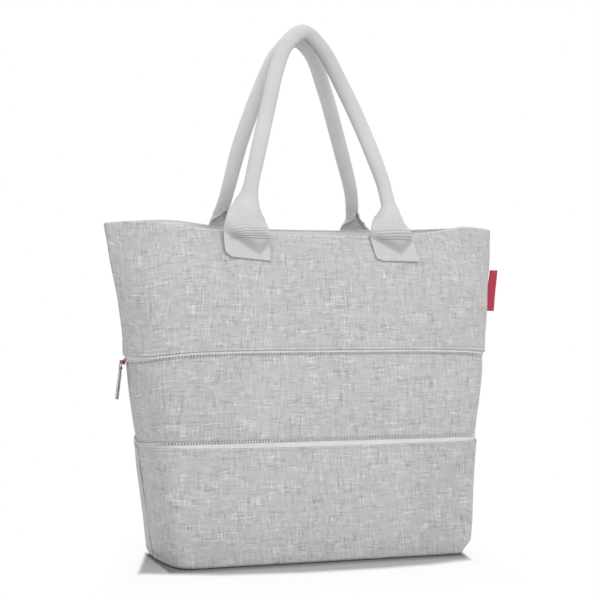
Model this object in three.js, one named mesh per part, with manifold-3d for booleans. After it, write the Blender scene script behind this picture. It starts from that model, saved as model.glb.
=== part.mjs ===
// Shopper bag: a tall cloth tote in three tiers. The upper and lower tiers carry the two halves of a zip
// that runs round the bag, and the middle tier is the extra height that shows once that zip is open.
// Two rolled webbing handles stand above the rim, and a plain tab is sewn into the right side seam.
// Millimetres, +Z up. The front faces -Y, and the origin is the middle of the base, on the floor.
import * as THREE from "three";
import { mergeVertices } from "three/addons/utils/BufferGeometryUtils.js";
import Module from "manifold-3d";

const wasm = await Module();
wasm.setup();

// Driving dimensions
const CLOTH = 1.6; // thickness of a panel
const GAP = 0.3; // clearance between neighbouring pieces
const FRONT = -1;
const BACK = 1;

// The outer form, section by section. A section runs from side seam to side seam, and its squareness is
// the power that shapes it: 2.6 is a lens with pinched ends, and 36 is a box with soft corners. The cloth has
// settled a little to the right, which is the shift.
const FORM = [
  { z: 0, shift: 1.9, halfWidth: 200, halfDepth: 93.5, squareness: 36 },
  { z: 140, shift: 0.5, halfWidth: 218.5, halfDepth: 84, squareness: 28 },
  { z: 248, shift: 1.3, halfWidth: 235.8, halfDepth: 77, squareness: 22 },
  { z: 275, shift: 2.4, halfWidth: 238.6, halfDepth: 74.4, squareness: 18 },
  { z: 310, shift: 3.8, halfWidth: 245.1, halfDepth: 71, squareness: 13 },
  { z: 360, shift: 3.2, halfWidth: 254.5, halfDepth: 65, squareness: 6 },
  { z: 414, shift: -0.4, halfWidth: 260.8, halfDepth: 57, squareness: 2.6 },
];
const CORNER_CROWDING = 2.2; // draws the columns of a panel towards the side seams
const PANEL_COLUMNS = 22;

// The rim sags between the handles and drops a little at the side seams.
const RIM_PEAK = 414;
const RIM_PEAK_AT = 0.8; // share of the half width
const RIM_SEAM_DROP = 2.5;
const RIM_SAG = { [FRONT]: 16.5, [BACK]: 3.5 };

// The two halves of the zip: heights of the line where tape and teeth meet, at mid panel and at the seams,
// how much tape shows between the panel's edge and the teeth, there and at each seam, and the height of the
// teeth. The bend is the power by which the line runs off to the seams, and the widening that of the tape.
const ZIP_UPPER = {
  middle: 253.8,
  leftSeam: 243.5,
  rightSeam: 247.5,
  bend: 5,
  shown: 2.5,
  shownLeft: 6.5,
  shownRight: 2.5,
  widening: 24,
  teeth: 2.4,
};
const ZIP_LOWER = {
  middle: 145.8,
  leftSeam: 139.5,
  rightSeam: 145.8,
  bend: 28,
  shown: 6.2,
  shownLeft: 2.6,
  shownRight: 4.5,
  widening: 3,
  teeth: 3.4,
};
const TAPE = 0.8;
const TAPE_TUCKED = 6; // tape behind the panel's edge
const TEETH_DEPTH = 2;
const TIER_RECESS = CLOTH + GAP + TAPE + GAP; // the middle tier hangs behind both tapes
const TIER_LAP = 8; // middle tier behind the zip line
const TIER_SWELL = 2.2; // how far the middle tier swells out between the tapes

// Base
const BASE_ROUND = 4.5; // radius of the fold along the bottom edge
const BASE_THICK = 2.2;
const BASE_STRAIGHT = 0.78; // share of the half width along which its edges are straight

// Handles: one strip of webbing each, flat where it is sewn on and rolled into a tube above the rim.
const WEBBING = { width: 56.5, thick: 2.2, rolledTurn: 0.92, ovalWide: 0.95, ovalDeep: 0.82 };
const STRIP_COLUMNS = 10;
const STEPS_PER_ROW = 2;
const LEVEL_BELOW = 388; // the ends of the webbing are cut level
const SQUARE_ABOVE = 425; // and from here it lies square to its route
// Rows run from the left end over the top to the right end: across, out from the middle of the bag, height,
// and roll, which is 0 for flat webbing and 1 for the closed tube.
const HANDLE_FRONT = [
  { x: -95, out: 66.8, z: 369, roll: 0 },
  { x: -96.5, out: 66.2, z: 384, roll: 0 },
  { x: -98.5, out: 68.6, z: 405, roll: 0.13 },
  { x: -96, out: 67.3, z: 420, roll: 0.31 },
  { x: -91.8, out: 64.1, z: 440, roll: 0.59 },
  { x: -85.6, out: 58.3, z: 465, roll: 0.97 },
  { x: -70.3, out: 46.5, z: 520, roll: 1 },
  { x: -46.2, out: 30, z: 605, roll: 1 },
  { x: -30, out: 22.5, z: 640, roll: 1 },
  { x: -7.5, out: 20, z: 656.5, roll: 1 },
  { x: 15, out: 22.5, z: 638, roll: 1 },
  { x: 40.5, out: 32.5, z: 588, roll: 1 },
  { x: 66.4, out: 45.5, z: 525, roll: 1 },
  { x: 85.8, out: 58.2, z: 465, roll: 1 },
  { x: 90.1, out: 64, z: 440, roll: 0.96 },
  { x: 90.5, out: 67.1, z: 420, roll: 0.45 },
  { x: 89.3, out: 68.6, z: 405, roll: 0.2 },
  { x: 95.1, out: 66.2, z: 384, roll: 0 },
  { x: 100.1, out: 66.8, z: 368, roll: 0 },
];
const HANDLE_BACK = [
  { x: -92, out: 67.2, z: 368, roll: 0 },
  { x: -92, out: 66.4, z: 384, roll: 0 },
  { x: -92.2, out: 69.4, z: 410, roll: 0.18 },
  { x: -94, out: 68.2, z: 422, roll: 0.5 },
  { x: -93.2, out: 63.8, z: 438, roll: 0.98 },
  { x: -87.4, out: 57.6, z: 465, roll: 1 },
  { x: -75.5, out: 47, z: 518, roll: 1 },
  { x: -51.5, out: 31, z: 592, roll: 1 },
  { x: -32.5, out: 23, z: 633, roll: 1 },
  { x: -10, out: 20, z: 651, roll: 1 },
  { x: 11, out: 22, z: 636, roll: 1 },
  { x: 33.5, out: 31.5, z: 590, roll: 1 },
  { x: 55.6, out: 43.5, z: 531, roll: 1 },
  { x: 78.8, out: 57.2, z: 465, roll: 1 },
  { x: 85, out: 63.8, z: 438, roll: 0.98 },
  { x: 88.4, out: 68.2, z: 422, roll: 0.48 },
  { x: 90.4, out: 69.4, z: 410, roll: 0.18 },
  { x: 91.7, out: 66.4, z: 384, roll: 0 },
  { x: 92, out: 67.2, z: 368, roll: 0 },
];

// Zip slider at the left side seam. A link turns in the hole of its ear, and a pull tab is looped on
// the link.
const SLIDER = { long: 11, high: 8, thick: 1.8 };
const EAR = { thick: 2.4, reach: 2.2, hole: 1.3, wall: 0.9 }; // reach is from the face to the hole's middle
const LINK = { wide: 13, high: 9, wire: 1.2 };
const TAB = { wide: 10, long: 38, thick: 2.6, loop: 1.15, wall: 0.9 }; // loop is the radius of its bore
const PULL_LEAN = 7; // degrees out from the vertical

// Plain tab of folded ribbon in the right side seam
const SEAM_TAB = { bottom: 304, high: 54, thick: 1.2, outAtBottom: 263.5, outAtTop: 269 };

const COLOURS = {
  cloth: 0xc6c5c5,
  tape: 0xd9d8d8,
  teeth: 0xcfcfcf,
  webbing: 0xd2d1d0,
  red: 0xb92f45,
  tab: 0xc4c4c4,
};

// Smooth interpolation of the form's columns between its rows
function sectionAt(z) {
  const last = FORM.length - 1;
  let i = 0;
  while (i < last - 1 && z > FORM[i + 1].z) i += 1;
  const span = FORM[i + 1].z - FORM[i].z;
  const t = Math.min(1, Math.max(0, (z - FORM[i].z) / span));
  const slope = (key, row) => {
    const low = FORM[Math.max(0, row - 1)];
    const high = FORM[Math.min(last, row + 1)];
    return ((high[key] - low[key]) / (high.z - low.z)) * span;
  };
  const blend = (key) =>
    FORM[i][key] * (2 * t ** 3 - 3 * t ** 2 + 1) +
    slope(key, i) * (t ** 3 - 2 * t ** 2 + t) +
    FORM[i + 1][key] * (3 * t ** 2 - 2 * t ** 3) +
    slope(key, i + 1) * (t ** 3 - t ** 2);
  return Object.fromEntries(Object.keys(FORM[0]).map((key) => [key, blend(key)]));
}

// Share of the half width at column position u, which runs from -1 at the left seam to 1 at the right
const shareAt = (u) => Math.sign(u) * (1 - (1 - Math.abs(u)) ** CORNER_CROWDING);

// A point of the form, a given distance inside its outer surface
function formPoint(side, u, z, inset) {
  const share = shareAt(u);
  const { shift, halfWidth, halfDepth, squareness } = sectionAt(z);
  const seamInset = inset * Math.hypot(1, halfWidth / (halfDepth * squareness));
  const x = shift + (halfWidth - seamInset) * share;
  const y = (halfDepth - inset) * (1 - Math.abs(share) ** squareness) + GAP / 2;
  return new THREE.Vector3(x, side * y, z);
}

function rimHeight(side, u) {
  const share = Math.abs(shareAt(u)) / RIM_PEAK_AT;
  if (share < 1) return RIM_PEAK - RIM_SAG[side] * (1 - share ** 3) ** 1.2;
  return RIM_PEAK - RIM_SEAM_DROP * ((share - 1) / (1 / RIM_PEAK_AT - 1)) ** 2;
}

// Height of a zip line, which dips towards the side seams
function zipHeight(zip, u) {
  const seam = u < 0 ? zip.leftSeam : zip.rightSeam;
  return zip.middle + (seam - zip.middle) * Math.abs(shareAt(u)) ** zip.bend;
}
const zipLine = (zip, offset) => (u) => zipHeight(zip, u) + offset;

// The edge of the tape that shows, or a line beyond it. Upwards is 1 where the tape stands above its teeth,
// and -1 where it hangs below them.
function hemLine(zip, upwards, beyond = 0) {
  const shown = (u) => {
    const share = shareAt(u);
    const end = share < 0 ? zip.shownLeft : zip.shownRight;
    return THREE.MathUtils.lerp(zip.shown, end, Math.abs(share) ** zip.widening);
  };
  return (u) => zipHeight(zip, u) + upwards * (shown(u) + beyond);
}

// A closed geometry from two matching grids of points, its outer and inner skins, joined along their edges
function shell(outer, inner) {
  const rows = outer.length;
  const columns = outer[0].length;
  const positions = [...outer.flat(), ...inner.flat()].flatMap((p) => [p.x, p.y, p.z]);
  const at = (skin, row, column) => (skin * rows + row) * columns + column;
  const index = [];
  const quad = (a, b, c, d) => index.push(a, b, c, a, c, d);
  for (let r = 0; r < rows - 1; r += 1) {
    for (let c = 0; c < columns - 1; c += 1) {
      quad(at(0, r, c), at(0, r, c + 1), at(0, r + 1, c + 1), at(0, r + 1, c));
      quad(at(1, r, c), at(1, r + 1, c), at(1, r + 1, c + 1), at(1, r, c + 1));
    }
    quad(at(0, r, 0), at(0, r + 1, 0), at(1, r + 1, 0), at(1, r, 0));
    quad(at(0, r, columns - 1), at(1, r, columns - 1), at(1, r + 1, columns - 1), at(0, r + 1, columns - 1));
  }
  for (let c = 0; c < columns - 1; c += 1) {
    quad(at(0, 0, c), at(1, 0, c), at(1, 0, c + 1), at(0, 0, c + 1));
    quad(at(0, rows - 1, c), at(0, rows - 1, c + 1), at(1, rows - 1, c + 1), at(1, rows - 1, c));
  }
  const geometry = new THREE.BufferGeometry();
  geometry.setAttribute("position", new THREE.Float32BufferAttribute(positions, 3));
  geometry.setIndex(facesOut(positions, index));
  return geometry;
}

// The same triangles, turned round if they enclose a negative volume
function facesOut(positions, index) {
  const corner = (i) => new THREE.Vector3().fromArray(positions, index[i] * 3);
  let volume = 0;
  for (let i = 0; i < index.length; i += 3) {
    volume += corner(i).dot(corner(i + 1).cross(corner(i + 2)));
  }
  return volume > 0 ? index : index.slice().reverse();
}

const material = (color, roughness = 0.9, metalness = 0) =>
  new THREE.MeshStandardMaterial({ color, roughness, metalness });

function node(name, geometry, finish) {
  const mesh = new THREE.Mesh(geometry, finish);
  mesh.name = name;
  return mesh;
}

const columnsAcross = Array.from({ length: PANEL_COLUMNS + 1 }, (_, i) => (2 * i) / PANEL_COLUMNS - 1);

// A cloth panel between two edges. Each row gives a height and an inset for both skins at a column.
function panel(name, side, rows, finish) {
  const skin = (key) => rows.map((row) => columnsAcross.map((u) => formPoint(side, u, ...row[key](u))));
  return node(name, shell(skin("outer"), skin("inner")), finish);
}

// One row of a panel: its height along the columns, and how far its outer face lies inside the form
const row = (height, inset = 0) => ({
  outer: (u) => [height(u), inset],
  inner: (u) => [height(u), inset + CLOTH],
});

// Rows evenly spaced from one height to another
function rowsBetween(low, high, count, inset = () => 0) {
  return Array.from({ length: count + 1 }, (_, i) => {
    const share = i / count;
    return row((u) => THREE.MathUtils.lerp(low(u), high(u), share), inset(share));
  });
}

function upperPanel(name, side) {
  const sewn = hemLine(ZIP_UPPER, 1, TAPE_TUCKED);
  const rim = (u) => rimHeight(side, u);
  const rows = [row(hemLine(ZIP_UPPER, 1)), ...rowsBetween(sewn, rim, 6)];
  return panel(name, side, rows, material(COLOURS.cloth));
}

// The middle tier is sewn on behind both tapes and swells out between the rows of teeth.
function middlePanel(name, side) {
  const low = zipLine(ZIP_LOWER, ZIP_LOWER.teeth + 2 * GAP);
  const high = zipLine(ZIP_UPPER, -ZIP_UPPER.teeth - 2 * GAP);
  const swelling = (share) => TIER_RECESS - TIER_SWELL * Math.sin(Math.PI * share);
  const rows = [
    row(zipLine(ZIP_LOWER, -TIER_LAP), TIER_RECESS),
    ...rowsBetween(low, high, 5, swelling),
    row(zipLine(ZIP_UPPER, TIER_LAP), TIER_RECESS),
  ];
  return panel(name, side, rows, material(COLOURS.cloth));
}

// The lower panel turns under along the bottom edge, round the fold.
function lowerPanel(name, side) {
  const foldSteps = 4;
  const fold = Array.from({ length: foldSteps }, (_, i) => {
    const angle = (Math.PI / 2) * (1 - i / foldSteps);
    const onArc = (radius) => [BASE_ROUND - radius * Math.sin(angle), BASE_ROUND - radius * Math.cos(angle)];
    return { outer: () => onArc(BASE_ROUND), inner: () => onArc(BASE_ROUND - CLOTH) };
  });
  const sewn = hemLine(ZIP_LOWER, -1, TAPE_TUCKED);
  const hem = row(hemLine(ZIP_LOWER, -1));
  const rows = [...fold, ...rowsBetween(() => BASE_ROUND, sewn, 4), hem];
  return panel(name, side, rows, material(COLOURS.cloth));
}

function basePanel() {
  const inset = BASE_ROUND + GAP;
  const corners = columnsAcross.filter((u) => Math.abs(shareAt(u)) > BASE_STRAIGHT);
  const front = corners.map((u) => formPoint(FRONT, u, 0, inset));
  const back = corners.map((u) => formPoint(BACK, u, 0, inset)).reverse();
  const outline = new THREE.Shape([...front, ...back].map((p) => new THREE.Vector2(p.x, p.y)));
  const geometry = new THREE.ExtrudeGeometry(outline, { depth: BASE_THICK, bevelEnabled: false, steps: 1 });
  return node("base_panel", geometry, material(COLOURS.cloth));
}

// A band round the bag that starts and ends at the left side seam
function band(name, low, high, inset, thick, finish) {
  const around = [
    ...columnsAcross.map((u) => ({ side: FRONT, u })),
    ...columnsAcross.slice(0, -1).reverse().map((u) => ({ side: BACK, u })),
  ];
  const edgeAt = (edge, depth) => around.map(({ side, u }) => formPoint(side, u, edge(u), depth));
  const skin = (depth) => [edgeAt(low, depth), edgeAt(high, depth)];
  return node(name, shell(skin(inset), skin(inset + thick)), finish);
}

// One half of the zip
function zipHalf(name, zip, upwards) {
  const line = (offset) => zipLine(zip, upwards * offset);
  const tapeEdge = hemLine(zip, upwards, TAPE_TUCKED);
  const tapeInset = CLOTH + GAP;
  const teethInset = tapeInset + TAPE - TEETH_DEPTH;
  const teethTip = line(-GAP - zip.teeth);
  return [
    band(`${name}_tape`, line(0), tapeEdge, tapeInset, TAPE, material(COLOURS.tape)),
    band(`${name}_teeth`, teethTip, line(-GAP), teethInset, TEETH_DEPTH, material(COLOURS.teeth, 0.5)),
  ];
}

// A webbing handle, rolled about its long axis by the share that each row of its table gives
function handle(name, side, table) {
  const route = new THREE.CatmullRomCurve3(
    table.map(({ x, out, z }) => new THREE.Vector3(x, side * out, z)),
    false,
    "centripetal",
  );
  const last = table.length - 1;
  const stations = Array.from({ length: last * STEPS_PER_ROW + 1 }, (_, i) => i / STEPS_PER_ROW);
  const strip = (depth) =>
    stations.map((station) => {
      const row = Math.min(last - 1, Math.floor(station));
      const roll = THREE.MathUtils.lerp(table[row].roll, table[row + 1].roll, station - row);
      const middle = route.getPoint(station / last);
      const along = route.getTangent(station / last);
      const outward = new THREE.Vector3(0, side, 0).addScaledVector(along, -side * along.y).normalize();
      const square = new THREE.Vector3().crossVectors(along, outward);
      const level = new THREE.Vector3(Math.sign(square.x), 0, 0);
      const turned = THREE.MathUtils.smoothstep(middle.z, LEVEL_BELOW, SQUARE_ABOVE);
      const across = level.lerp(square, turned).normalize();
      return Array.from({ length: STRIP_COLUMNS + 1 }, (_, i) => {
        const [wide, deep] = rolledStrip((2 * i) / STRIP_COLUMNS - 1, roll, depth);
        return middle.clone().addScaledVector(across, wide).addScaledVector(outward, -deep);
      });
    });
  return node(name, shell(strip(0), strip(WEBBING.thick)), material(COLOURS.webbing));
}

// Where a point across the webbing lies once it is rolled: sideways, and back from the outer face
function rolledStrip(across, roll, depth) {
  const turn = 2 * Math.PI * WEBBING.rolledTurn * roll;
  if (turn < 1e-3) return [(across * WEBBING.width) / 2, depth];
  const radius = WEBBING.width / turn;
  const angle = (across * turn) / 2;
  const wide = (radius - depth) * Math.sin(angle);
  const deep = radius - (radius - depth) * Math.cos(angle);
  const { lerp } = THREE.MathUtils;
  return [wide * lerp(1, WEBBING.ovalWide, roll), deep * lerp(1, WEBBING.ovalDeep, roll)];
}

// A closed geometry as a solid that can be joined to others
function solidOf(geometry) {
  const bare = geometry.index ? geometry.toNonIndexed() : geometry.clone();
  bare.deleteAttribute("normal");
  bare.deleteAttribute("uv");
  const merged = mergeVertices(bare, 1e-4);
  return new wasm.Manifold(
    new wasm.Mesh({
      numProp: 3,
      vertProperties: merged.attributes.position.array,
      triVerts: new Uint32Array(merged.index.array),
    }),
  );
}

function geometryOf(solid) {
  const { vertProperties, triVerts } = solid.getMesh();
  const geometry = new THREE.BufferGeometry();
  geometry.setAttribute("position", new THREE.BufferAttribute(vertProperties, 3));
  geometry.setIndex(new THREE.BufferAttribute(triVerts, 1));
  return geometry;
}

// A flat outline extruded and centred across Y, so that its own y points up
function acrossY(outline, thick) {
  const geometry = new THREE.ExtrudeGeometry(outline, {
    depth: thick,
    bevelEnabled: false,
    steps: 1,
    curveSegments: 10,
  });
  return geometry.rotateX(Math.PI / 2).translate(0, thick / 2, 0);
}

// A round eye at the origin with a straight shank leading off along -Y of its outline
function eyeAndShank(bore, wall, shankWide, shankLong) {
  const radius = bore + wall;
  const half = Math.min(shankWide / 2, radius);
  const spread = Math.asin(half / radius);
  const outline = new THREE.Shape();
  outline.moveTo(-half, -shankLong);
  outline.lineTo(half, -shankLong);
  outline.absarc(0, 0, radius, spread - Math.PI / 2, 1.5 * Math.PI - spread, false);
  outline.closePath();
  outline.holes.push(new THREE.Path().absarc(0, 0, bore, 0, 2 * Math.PI, true));
  return outline;
}

// The slider is built in a frame whose +X points out of the bag, with the teeth's outer face at x = 0.
const sliderFace = GAP + SLIDER.thick;
const hingeOut = sliderFace + EAR.reach;

function sliderBody() {
  const plate = new THREE.BoxGeometry(SLIDER.thick, SLIDER.long, SLIDER.high);
  plate.translate(GAP + SLIDER.thick / 2, 0, 0);
  const shank = EAR.reach + SLIDER.thick / 2;
  const ear = acrossY(eyeAndShank(EAR.hole, EAR.wall, 2 * (EAR.hole + EAR.wall), shank), EAR.thick);
  ear.rotateY(Math.PI / 2).translate(hingeOut, 0, 0);
  return node("zip_slider", geometryOf(solidOf(plate).add(solidOf(ear))), material(COLOURS.red, 0.4));
}

// A rectangular wire link whose upper bar lies in the ear
function pullLink() {
  const wire = LINK.wire / 2;
  const frame = (grow) => [
    new THREE.Vector2(-LINK.wide / 2 + grow, wire - grow),
    new THREE.Vector2(-LINK.wide / 2 + grow, wire - LINK.high + grow),
    new THREE.Vector2(LINK.wide / 2 - grow, wire - LINK.high + grow),
    new THREE.Vector2(LINK.wide / 2 - grow, wire - grow),
  ];
  const outline = new THREE.Shape(frame(0));
  outline.holes.push(new THREE.Path(frame(LINK.wire)));
  const geometry = acrossY(outline, LINK.wire).rotateZ(Math.PI / 2);
  return node("pull_link", geometry, material(COLOURS.red, 0.4));
}

// The tab's loop lies round the lower bar of the link.
function pullTab() {
  const geometry = acrossY(eyeAndShank(TAB.loop, TAB.wall, TAB.thick, TAB.long), TAB.wide);
  geometry.translate(0, 0, LINK.wire - LINK.high);
  return node("pull_tab", geometry, material(COLOURS.tab, 0.7));
}

function hangingPull() {
  const pull = new THREE.Group();
  pull.position.x = hingeOut;
  pull.rotation.y = -THREE.MathUtils.degToRad(PULL_LEAN);
  pull.add(pullLink(), pullTab());
  return pull;
}

function zipSlider() {
  const height = zipHeight(ZIP_UPPER, -1) - GAP - ZIP_UPPER.teeth / 2;
  const teethOuter = CLOTH + GAP + TAPE - TEETH_DEPTH;
  const slider = new THREE.Group();
  slider.position.set(formPoint(FRONT, -1, height, teethOuter).x, 0, height);
  slider.rotation.z = Math.PI;
  slider.add(sliderBody(), hangingPull());
  return slider;
}

// Its sewn edge follows the seam, which is slightly curved.
function seamTab() {
  const { bottom, high, thick, outAtBottom, outAtTop } = SEAM_TAB;
  const sewn = [1, 0.75, 0.5, 0.25, 0].map((share) => {
    const { shift, halfWidth } = sectionAt(bottom + high * share);
    return new THREE.Vector2(shift + halfWidth + 2 * GAP, bottom + high * share);
  });
  const outer = [new THREE.Vector2(outAtBottom, bottom), new THREE.Vector2(outAtTop, bottom + high)];
  return node("seam_tab", acrossY(new THREE.Shape([...outer, ...sewn]), thick), material(COLOURS.red));
}

const bag = new THREE.Group();
bag.add(
  upperPanel("upper_front", FRONT),
  upperPanel("upper_back", BACK),
  middlePanel("middle_front", FRONT),
  middlePanel("middle_back", BACK),
  lowerPanel("lower_front", FRONT),
  lowerPanel("lower_back", BACK),
  basePanel(),
  ...zipHalf("zip_upper", ZIP_UPPER, 1),
  ...zipHalf("zip_lower", ZIP_LOWER, -1),
  zipSlider(),
  handle("handle_front", FRONT, HANDLE_FRONT),
  handle("handle_back", BACK, HANDLE_BACK),
  seamTab(),
);

export default bag;
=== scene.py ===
"""Shopper bag: three cloth tiers, an opened zip in two halves, rolled webbing handles and small trims.

Metres, +Z up, the front towards -Y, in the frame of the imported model.
"""

import logging
from collections.abc import Callable, Iterable, Sequence
from dataclasses import dataclass, field
from enum import Enum
from math import cos, exp, floor, hypot, pi, radians, sin, sqrt

import bmesh
import bpy
from mathutils import Matrix, Vector, noise


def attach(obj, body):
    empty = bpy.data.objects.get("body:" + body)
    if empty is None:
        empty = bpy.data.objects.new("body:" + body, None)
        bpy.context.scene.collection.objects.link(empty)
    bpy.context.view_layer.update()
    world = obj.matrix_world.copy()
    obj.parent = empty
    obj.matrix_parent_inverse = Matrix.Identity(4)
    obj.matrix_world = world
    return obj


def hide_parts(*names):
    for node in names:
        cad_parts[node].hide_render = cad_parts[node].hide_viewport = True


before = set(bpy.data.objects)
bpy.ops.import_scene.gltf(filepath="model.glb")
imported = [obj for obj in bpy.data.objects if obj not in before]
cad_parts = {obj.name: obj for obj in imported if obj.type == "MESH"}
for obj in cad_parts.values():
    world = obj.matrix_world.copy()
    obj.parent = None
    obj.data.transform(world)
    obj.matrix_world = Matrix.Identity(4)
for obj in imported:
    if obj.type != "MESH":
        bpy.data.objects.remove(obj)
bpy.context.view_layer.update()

LOG = logging.getLogger("shopper_bag")
MM = 0.001
FRAME_PIXELS = 600
SENSOR_WIDTH = 36.0
SHARP_ANGLE = 1.0
Colour = tuple[float, float, float]


class Side(Enum):
    """The two faces of the bag, by the sign of their y."""

    FRONT = -1.0
    BACK = 1.0


class Body(Enum):
    """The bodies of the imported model."""

    BAG = "bag"
    PULL = "pull"


class Slot(Enum):
    """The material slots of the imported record."""

    CLOTH = "melange_cloth"
    TAPE = "zip_tape"
    TEETH = "zip_teeth"
    WEBBING = "webbing"
    METAL = "zip_metal"
    PULL = "pull"
    RIBBON = "ribbon"


def lerp(low: float, high: float, share: float) -> float:
    """Mixes two numbers."""
    return low + (high - low) * share


def smooth(low: float, high: float, value: float) -> float:
    """Rises smoothly from 0 at low to 1 at high."""
    share = min(1.0, max(0.0, (value - low) / (high - low)))
    return share * share * (3.0 - 2.0 * share)


def bell(value: float, width: float) -> float:
    """A soft hump of height 1 at zero."""
    return exp(-((value / width) ** 2))


def ripple(x: float, y: float, seed: float) -> float:
    """Smooth noise between about -1 and 1 that is the same on every run."""
    return noise.noise(Vector((x, y, seed)))


def crowded(place: float, power: float) -> float:
    """Moves a place between -1 and 1 so that even steps lie closer together towards both ends."""
    return (1.0 if place >= 0.0 else -1.0) * (1.0 - (1.0 - abs(place)) ** power)


class Value:
    """A shader socket that can be used in sums and products."""

    def __init__(self, graph: "ShaderGraph", socket: bpy.types.NodeSocket) -> None:
        """Keeps the socket and the graph it belongs to."""
        self.graph = graph
        self.socket = socket

    def _maths(self, operation: str, *terms: "Value | float") -> "Value":
        """Adds a Math node.

        Args:
            operation: The node's operation.
            terms: Its inputs in order.

        Returns:
            The node's result.
        """
        return self.graph.node("ShaderNodeMath", {"operation": operation}, dict(enumerate(terms)))

    def __add__(self, other: "Value | float") -> "Value":
        """Adds."""
        return self._maths("ADD", self, other)

    def __radd__(self, other: float) -> "Value":
        """Adds, from the right."""
        return self._maths("ADD", other, self)

    def __sub__(self, other: "Value | float") -> "Value":
        """Subtracts."""
        return self._maths("SUBTRACT", self, other)

    def __rsub__(self, other: float) -> "Value":
        """Subtracts, from the right."""
        return self._maths("SUBTRACT", other, self)

    def __mul__(self, other: "Value | float") -> "Value":
        """Multiplies."""
        return self._maths("MULTIPLY", self, other)

    def __rmul__(self, other: float) -> "Value":
        """Multiplies, from the right."""
        return self._maths("MULTIPLY", other, self)

    def __truediv__(self, other: "Value | float") -> "Value":
        """Divides."""
        return self._maths("DIVIDE", self, other)

    def __abs__(self) -> "Value":
        """Drops the sign."""
        return self._maths("ABSOLUTE", self)

    def least(self, other: "Value") -> "Value":
        """Takes the smaller of two numbers."""
        return self._maths("MINIMUM", self, other)

    def floor(self) -> "Value":
        """Rounds down."""
        return self._maths("FLOOR", self)

    def sine(self) -> "Value":
        """Takes the sine of an angle in radians."""
        return self._maths("SINE", self)

    def wave(self, pitch: float) -> "Value":
        """Rises and falls between 0 and 1, once in each pitch."""
        return (self * (2.0 * pi / pitch)).sine() * 0.5 + 0.5

    def smooth(self, low: float, high: float) -> "Value":
        """Rises smoothly from 0 at low to 1 at high.

        Args:
            low: Where it starts to rise.
            high: Where it reaches 1.

        Returns:
            The risen value.
        """
        return self.graph.node(
            "ShaderNodeMapRange", {"interpolation_type": "SMOOTHSTEP"}, {0: self, 1: low, 2: high}
        )


class ShaderGraph:
    """The node tree of one material, or of the surround."""

    def __init__(self, owner: bpy.types.Material | bpy.types.World) -> None:
        """Starts an empty tree.

        Args:
            owner: The material or the surround.
        """
        self.owner = owner
        owner.use_nodes = True
        self.tree = owner.node_tree
        self.tree.nodes.clear()

    def node(
        self,
        kind: str,
        settings: dict[str, object] | None = None,
        inputs: dict[int | str, object] | None = None,
        output: int | str = 0,
    ) -> Value:
        """Adds a node.

        Args:
            kind: The node's type.
            settings: Its own settings.
            inputs: Numbers, colours or links for its sockets.
            output: The socket that is handed back.

        Returns:
            The asked output.
        """
        made = self.tree.nodes.new(kind)
        for key, setting in (settings or {}).items():
            setattr(made, key, setting)
        for key, given in (inputs or {}).items():
            if isinstance(given, Value):
                self.tree.links.new(given.socket, made.inputs[key])
            else:
                made.inputs[key].default_value = given
        return Value(self, made.outputs[output])

    def split(self, vector: Value) -> tuple[Value, Value]:
        """Gives the first two parts of a vector."""
        first = self.node("ShaderNodeSeparateXYZ", None, {0: vector})
        return first, Value(self, first.socket.node.outputs[1])

    def surface(self, name: str) -> tuple[Value, Value]:
        """Gives a piece's own flat coordinates, in metres."""
        return self.split(self.node("ShaderNodeUVMap", {"uv_map": name}))

    def speckle(self, x: Value, y: Value, detail: float = 2.0) -> Value:
        """Gives noise over two numbers, one feature to a unit."""
        place = self.node("ShaderNodeCombineXYZ", None, {0: x, 1: y})
        return self.node("ShaderNodeTexNoise", None, {"Vector": place, "Scale": 1.0, "Detail": detail})

    def mottle(self, scale: float, detail: float = 3.0) -> Value:
        """Gives noise over the piece's own space, scale features to a metre."""
        place = self.node("ShaderNodeTexCoord", None, None, "Object")
        return self.node("ShaderNodeTexNoise", None, {"Vector": place, "Scale": scale, "Detail": detail})

    def attribute(self, name: str) -> Value:
        """Gives a number that is kept on the piece's points."""
        return self.node("ShaderNodeAttribute", {"attribute_name": name}, None, "Fac")

    def blend(self, share: Value, low: "Colour | Value", high: "Colour | Value") -> Value:
        """Mixes two colours."""
        ends = [end if isinstance(end, Value) else (*end, 1.0) for end in (low, high)]
        return self.node("ShaderNodeMix", {"data_type": "RGBA"}, {0: share, 6: ends[0], 7: ends[1]}, 2)

    def relief(self, height: Value, depth: float) -> Value:
        """Turns a height between 0 and 1 into a normal, depth being in metres."""
        return self.node("ShaderNodeBump", None, {"Height": height, "Distance": depth, "Strength": 1.0})

    def close(self, **sockets: object) -> bpy.types.Material:
        """Adds the shader and the output.

        Args:
            sockets: Values of the shader's sockets, with underscores for spaces.

        Returns:
            The material.
        """
        inputs = {key.replace("_", " "): given for key, given in sockets.items()}
        shader = self.node("ShaderNodeBsdfPrincipled", None, inputs)
        self.node_output(shader)
        return self.owner

    def node_output(self, shader: Value, kind: str = "ShaderNodeOutputMaterial") -> None:
        """Leads a shader to the output."""
        made = self.tree.nodes.new(kind)
        self.tree.links.new(shader.socket, made.inputs[0])


def grey(level: float, warmth: float = 0.0) -> Colour:
    """A grey, slightly warm or cool."""
    return level * (1.0 + warmth), level, level


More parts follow.
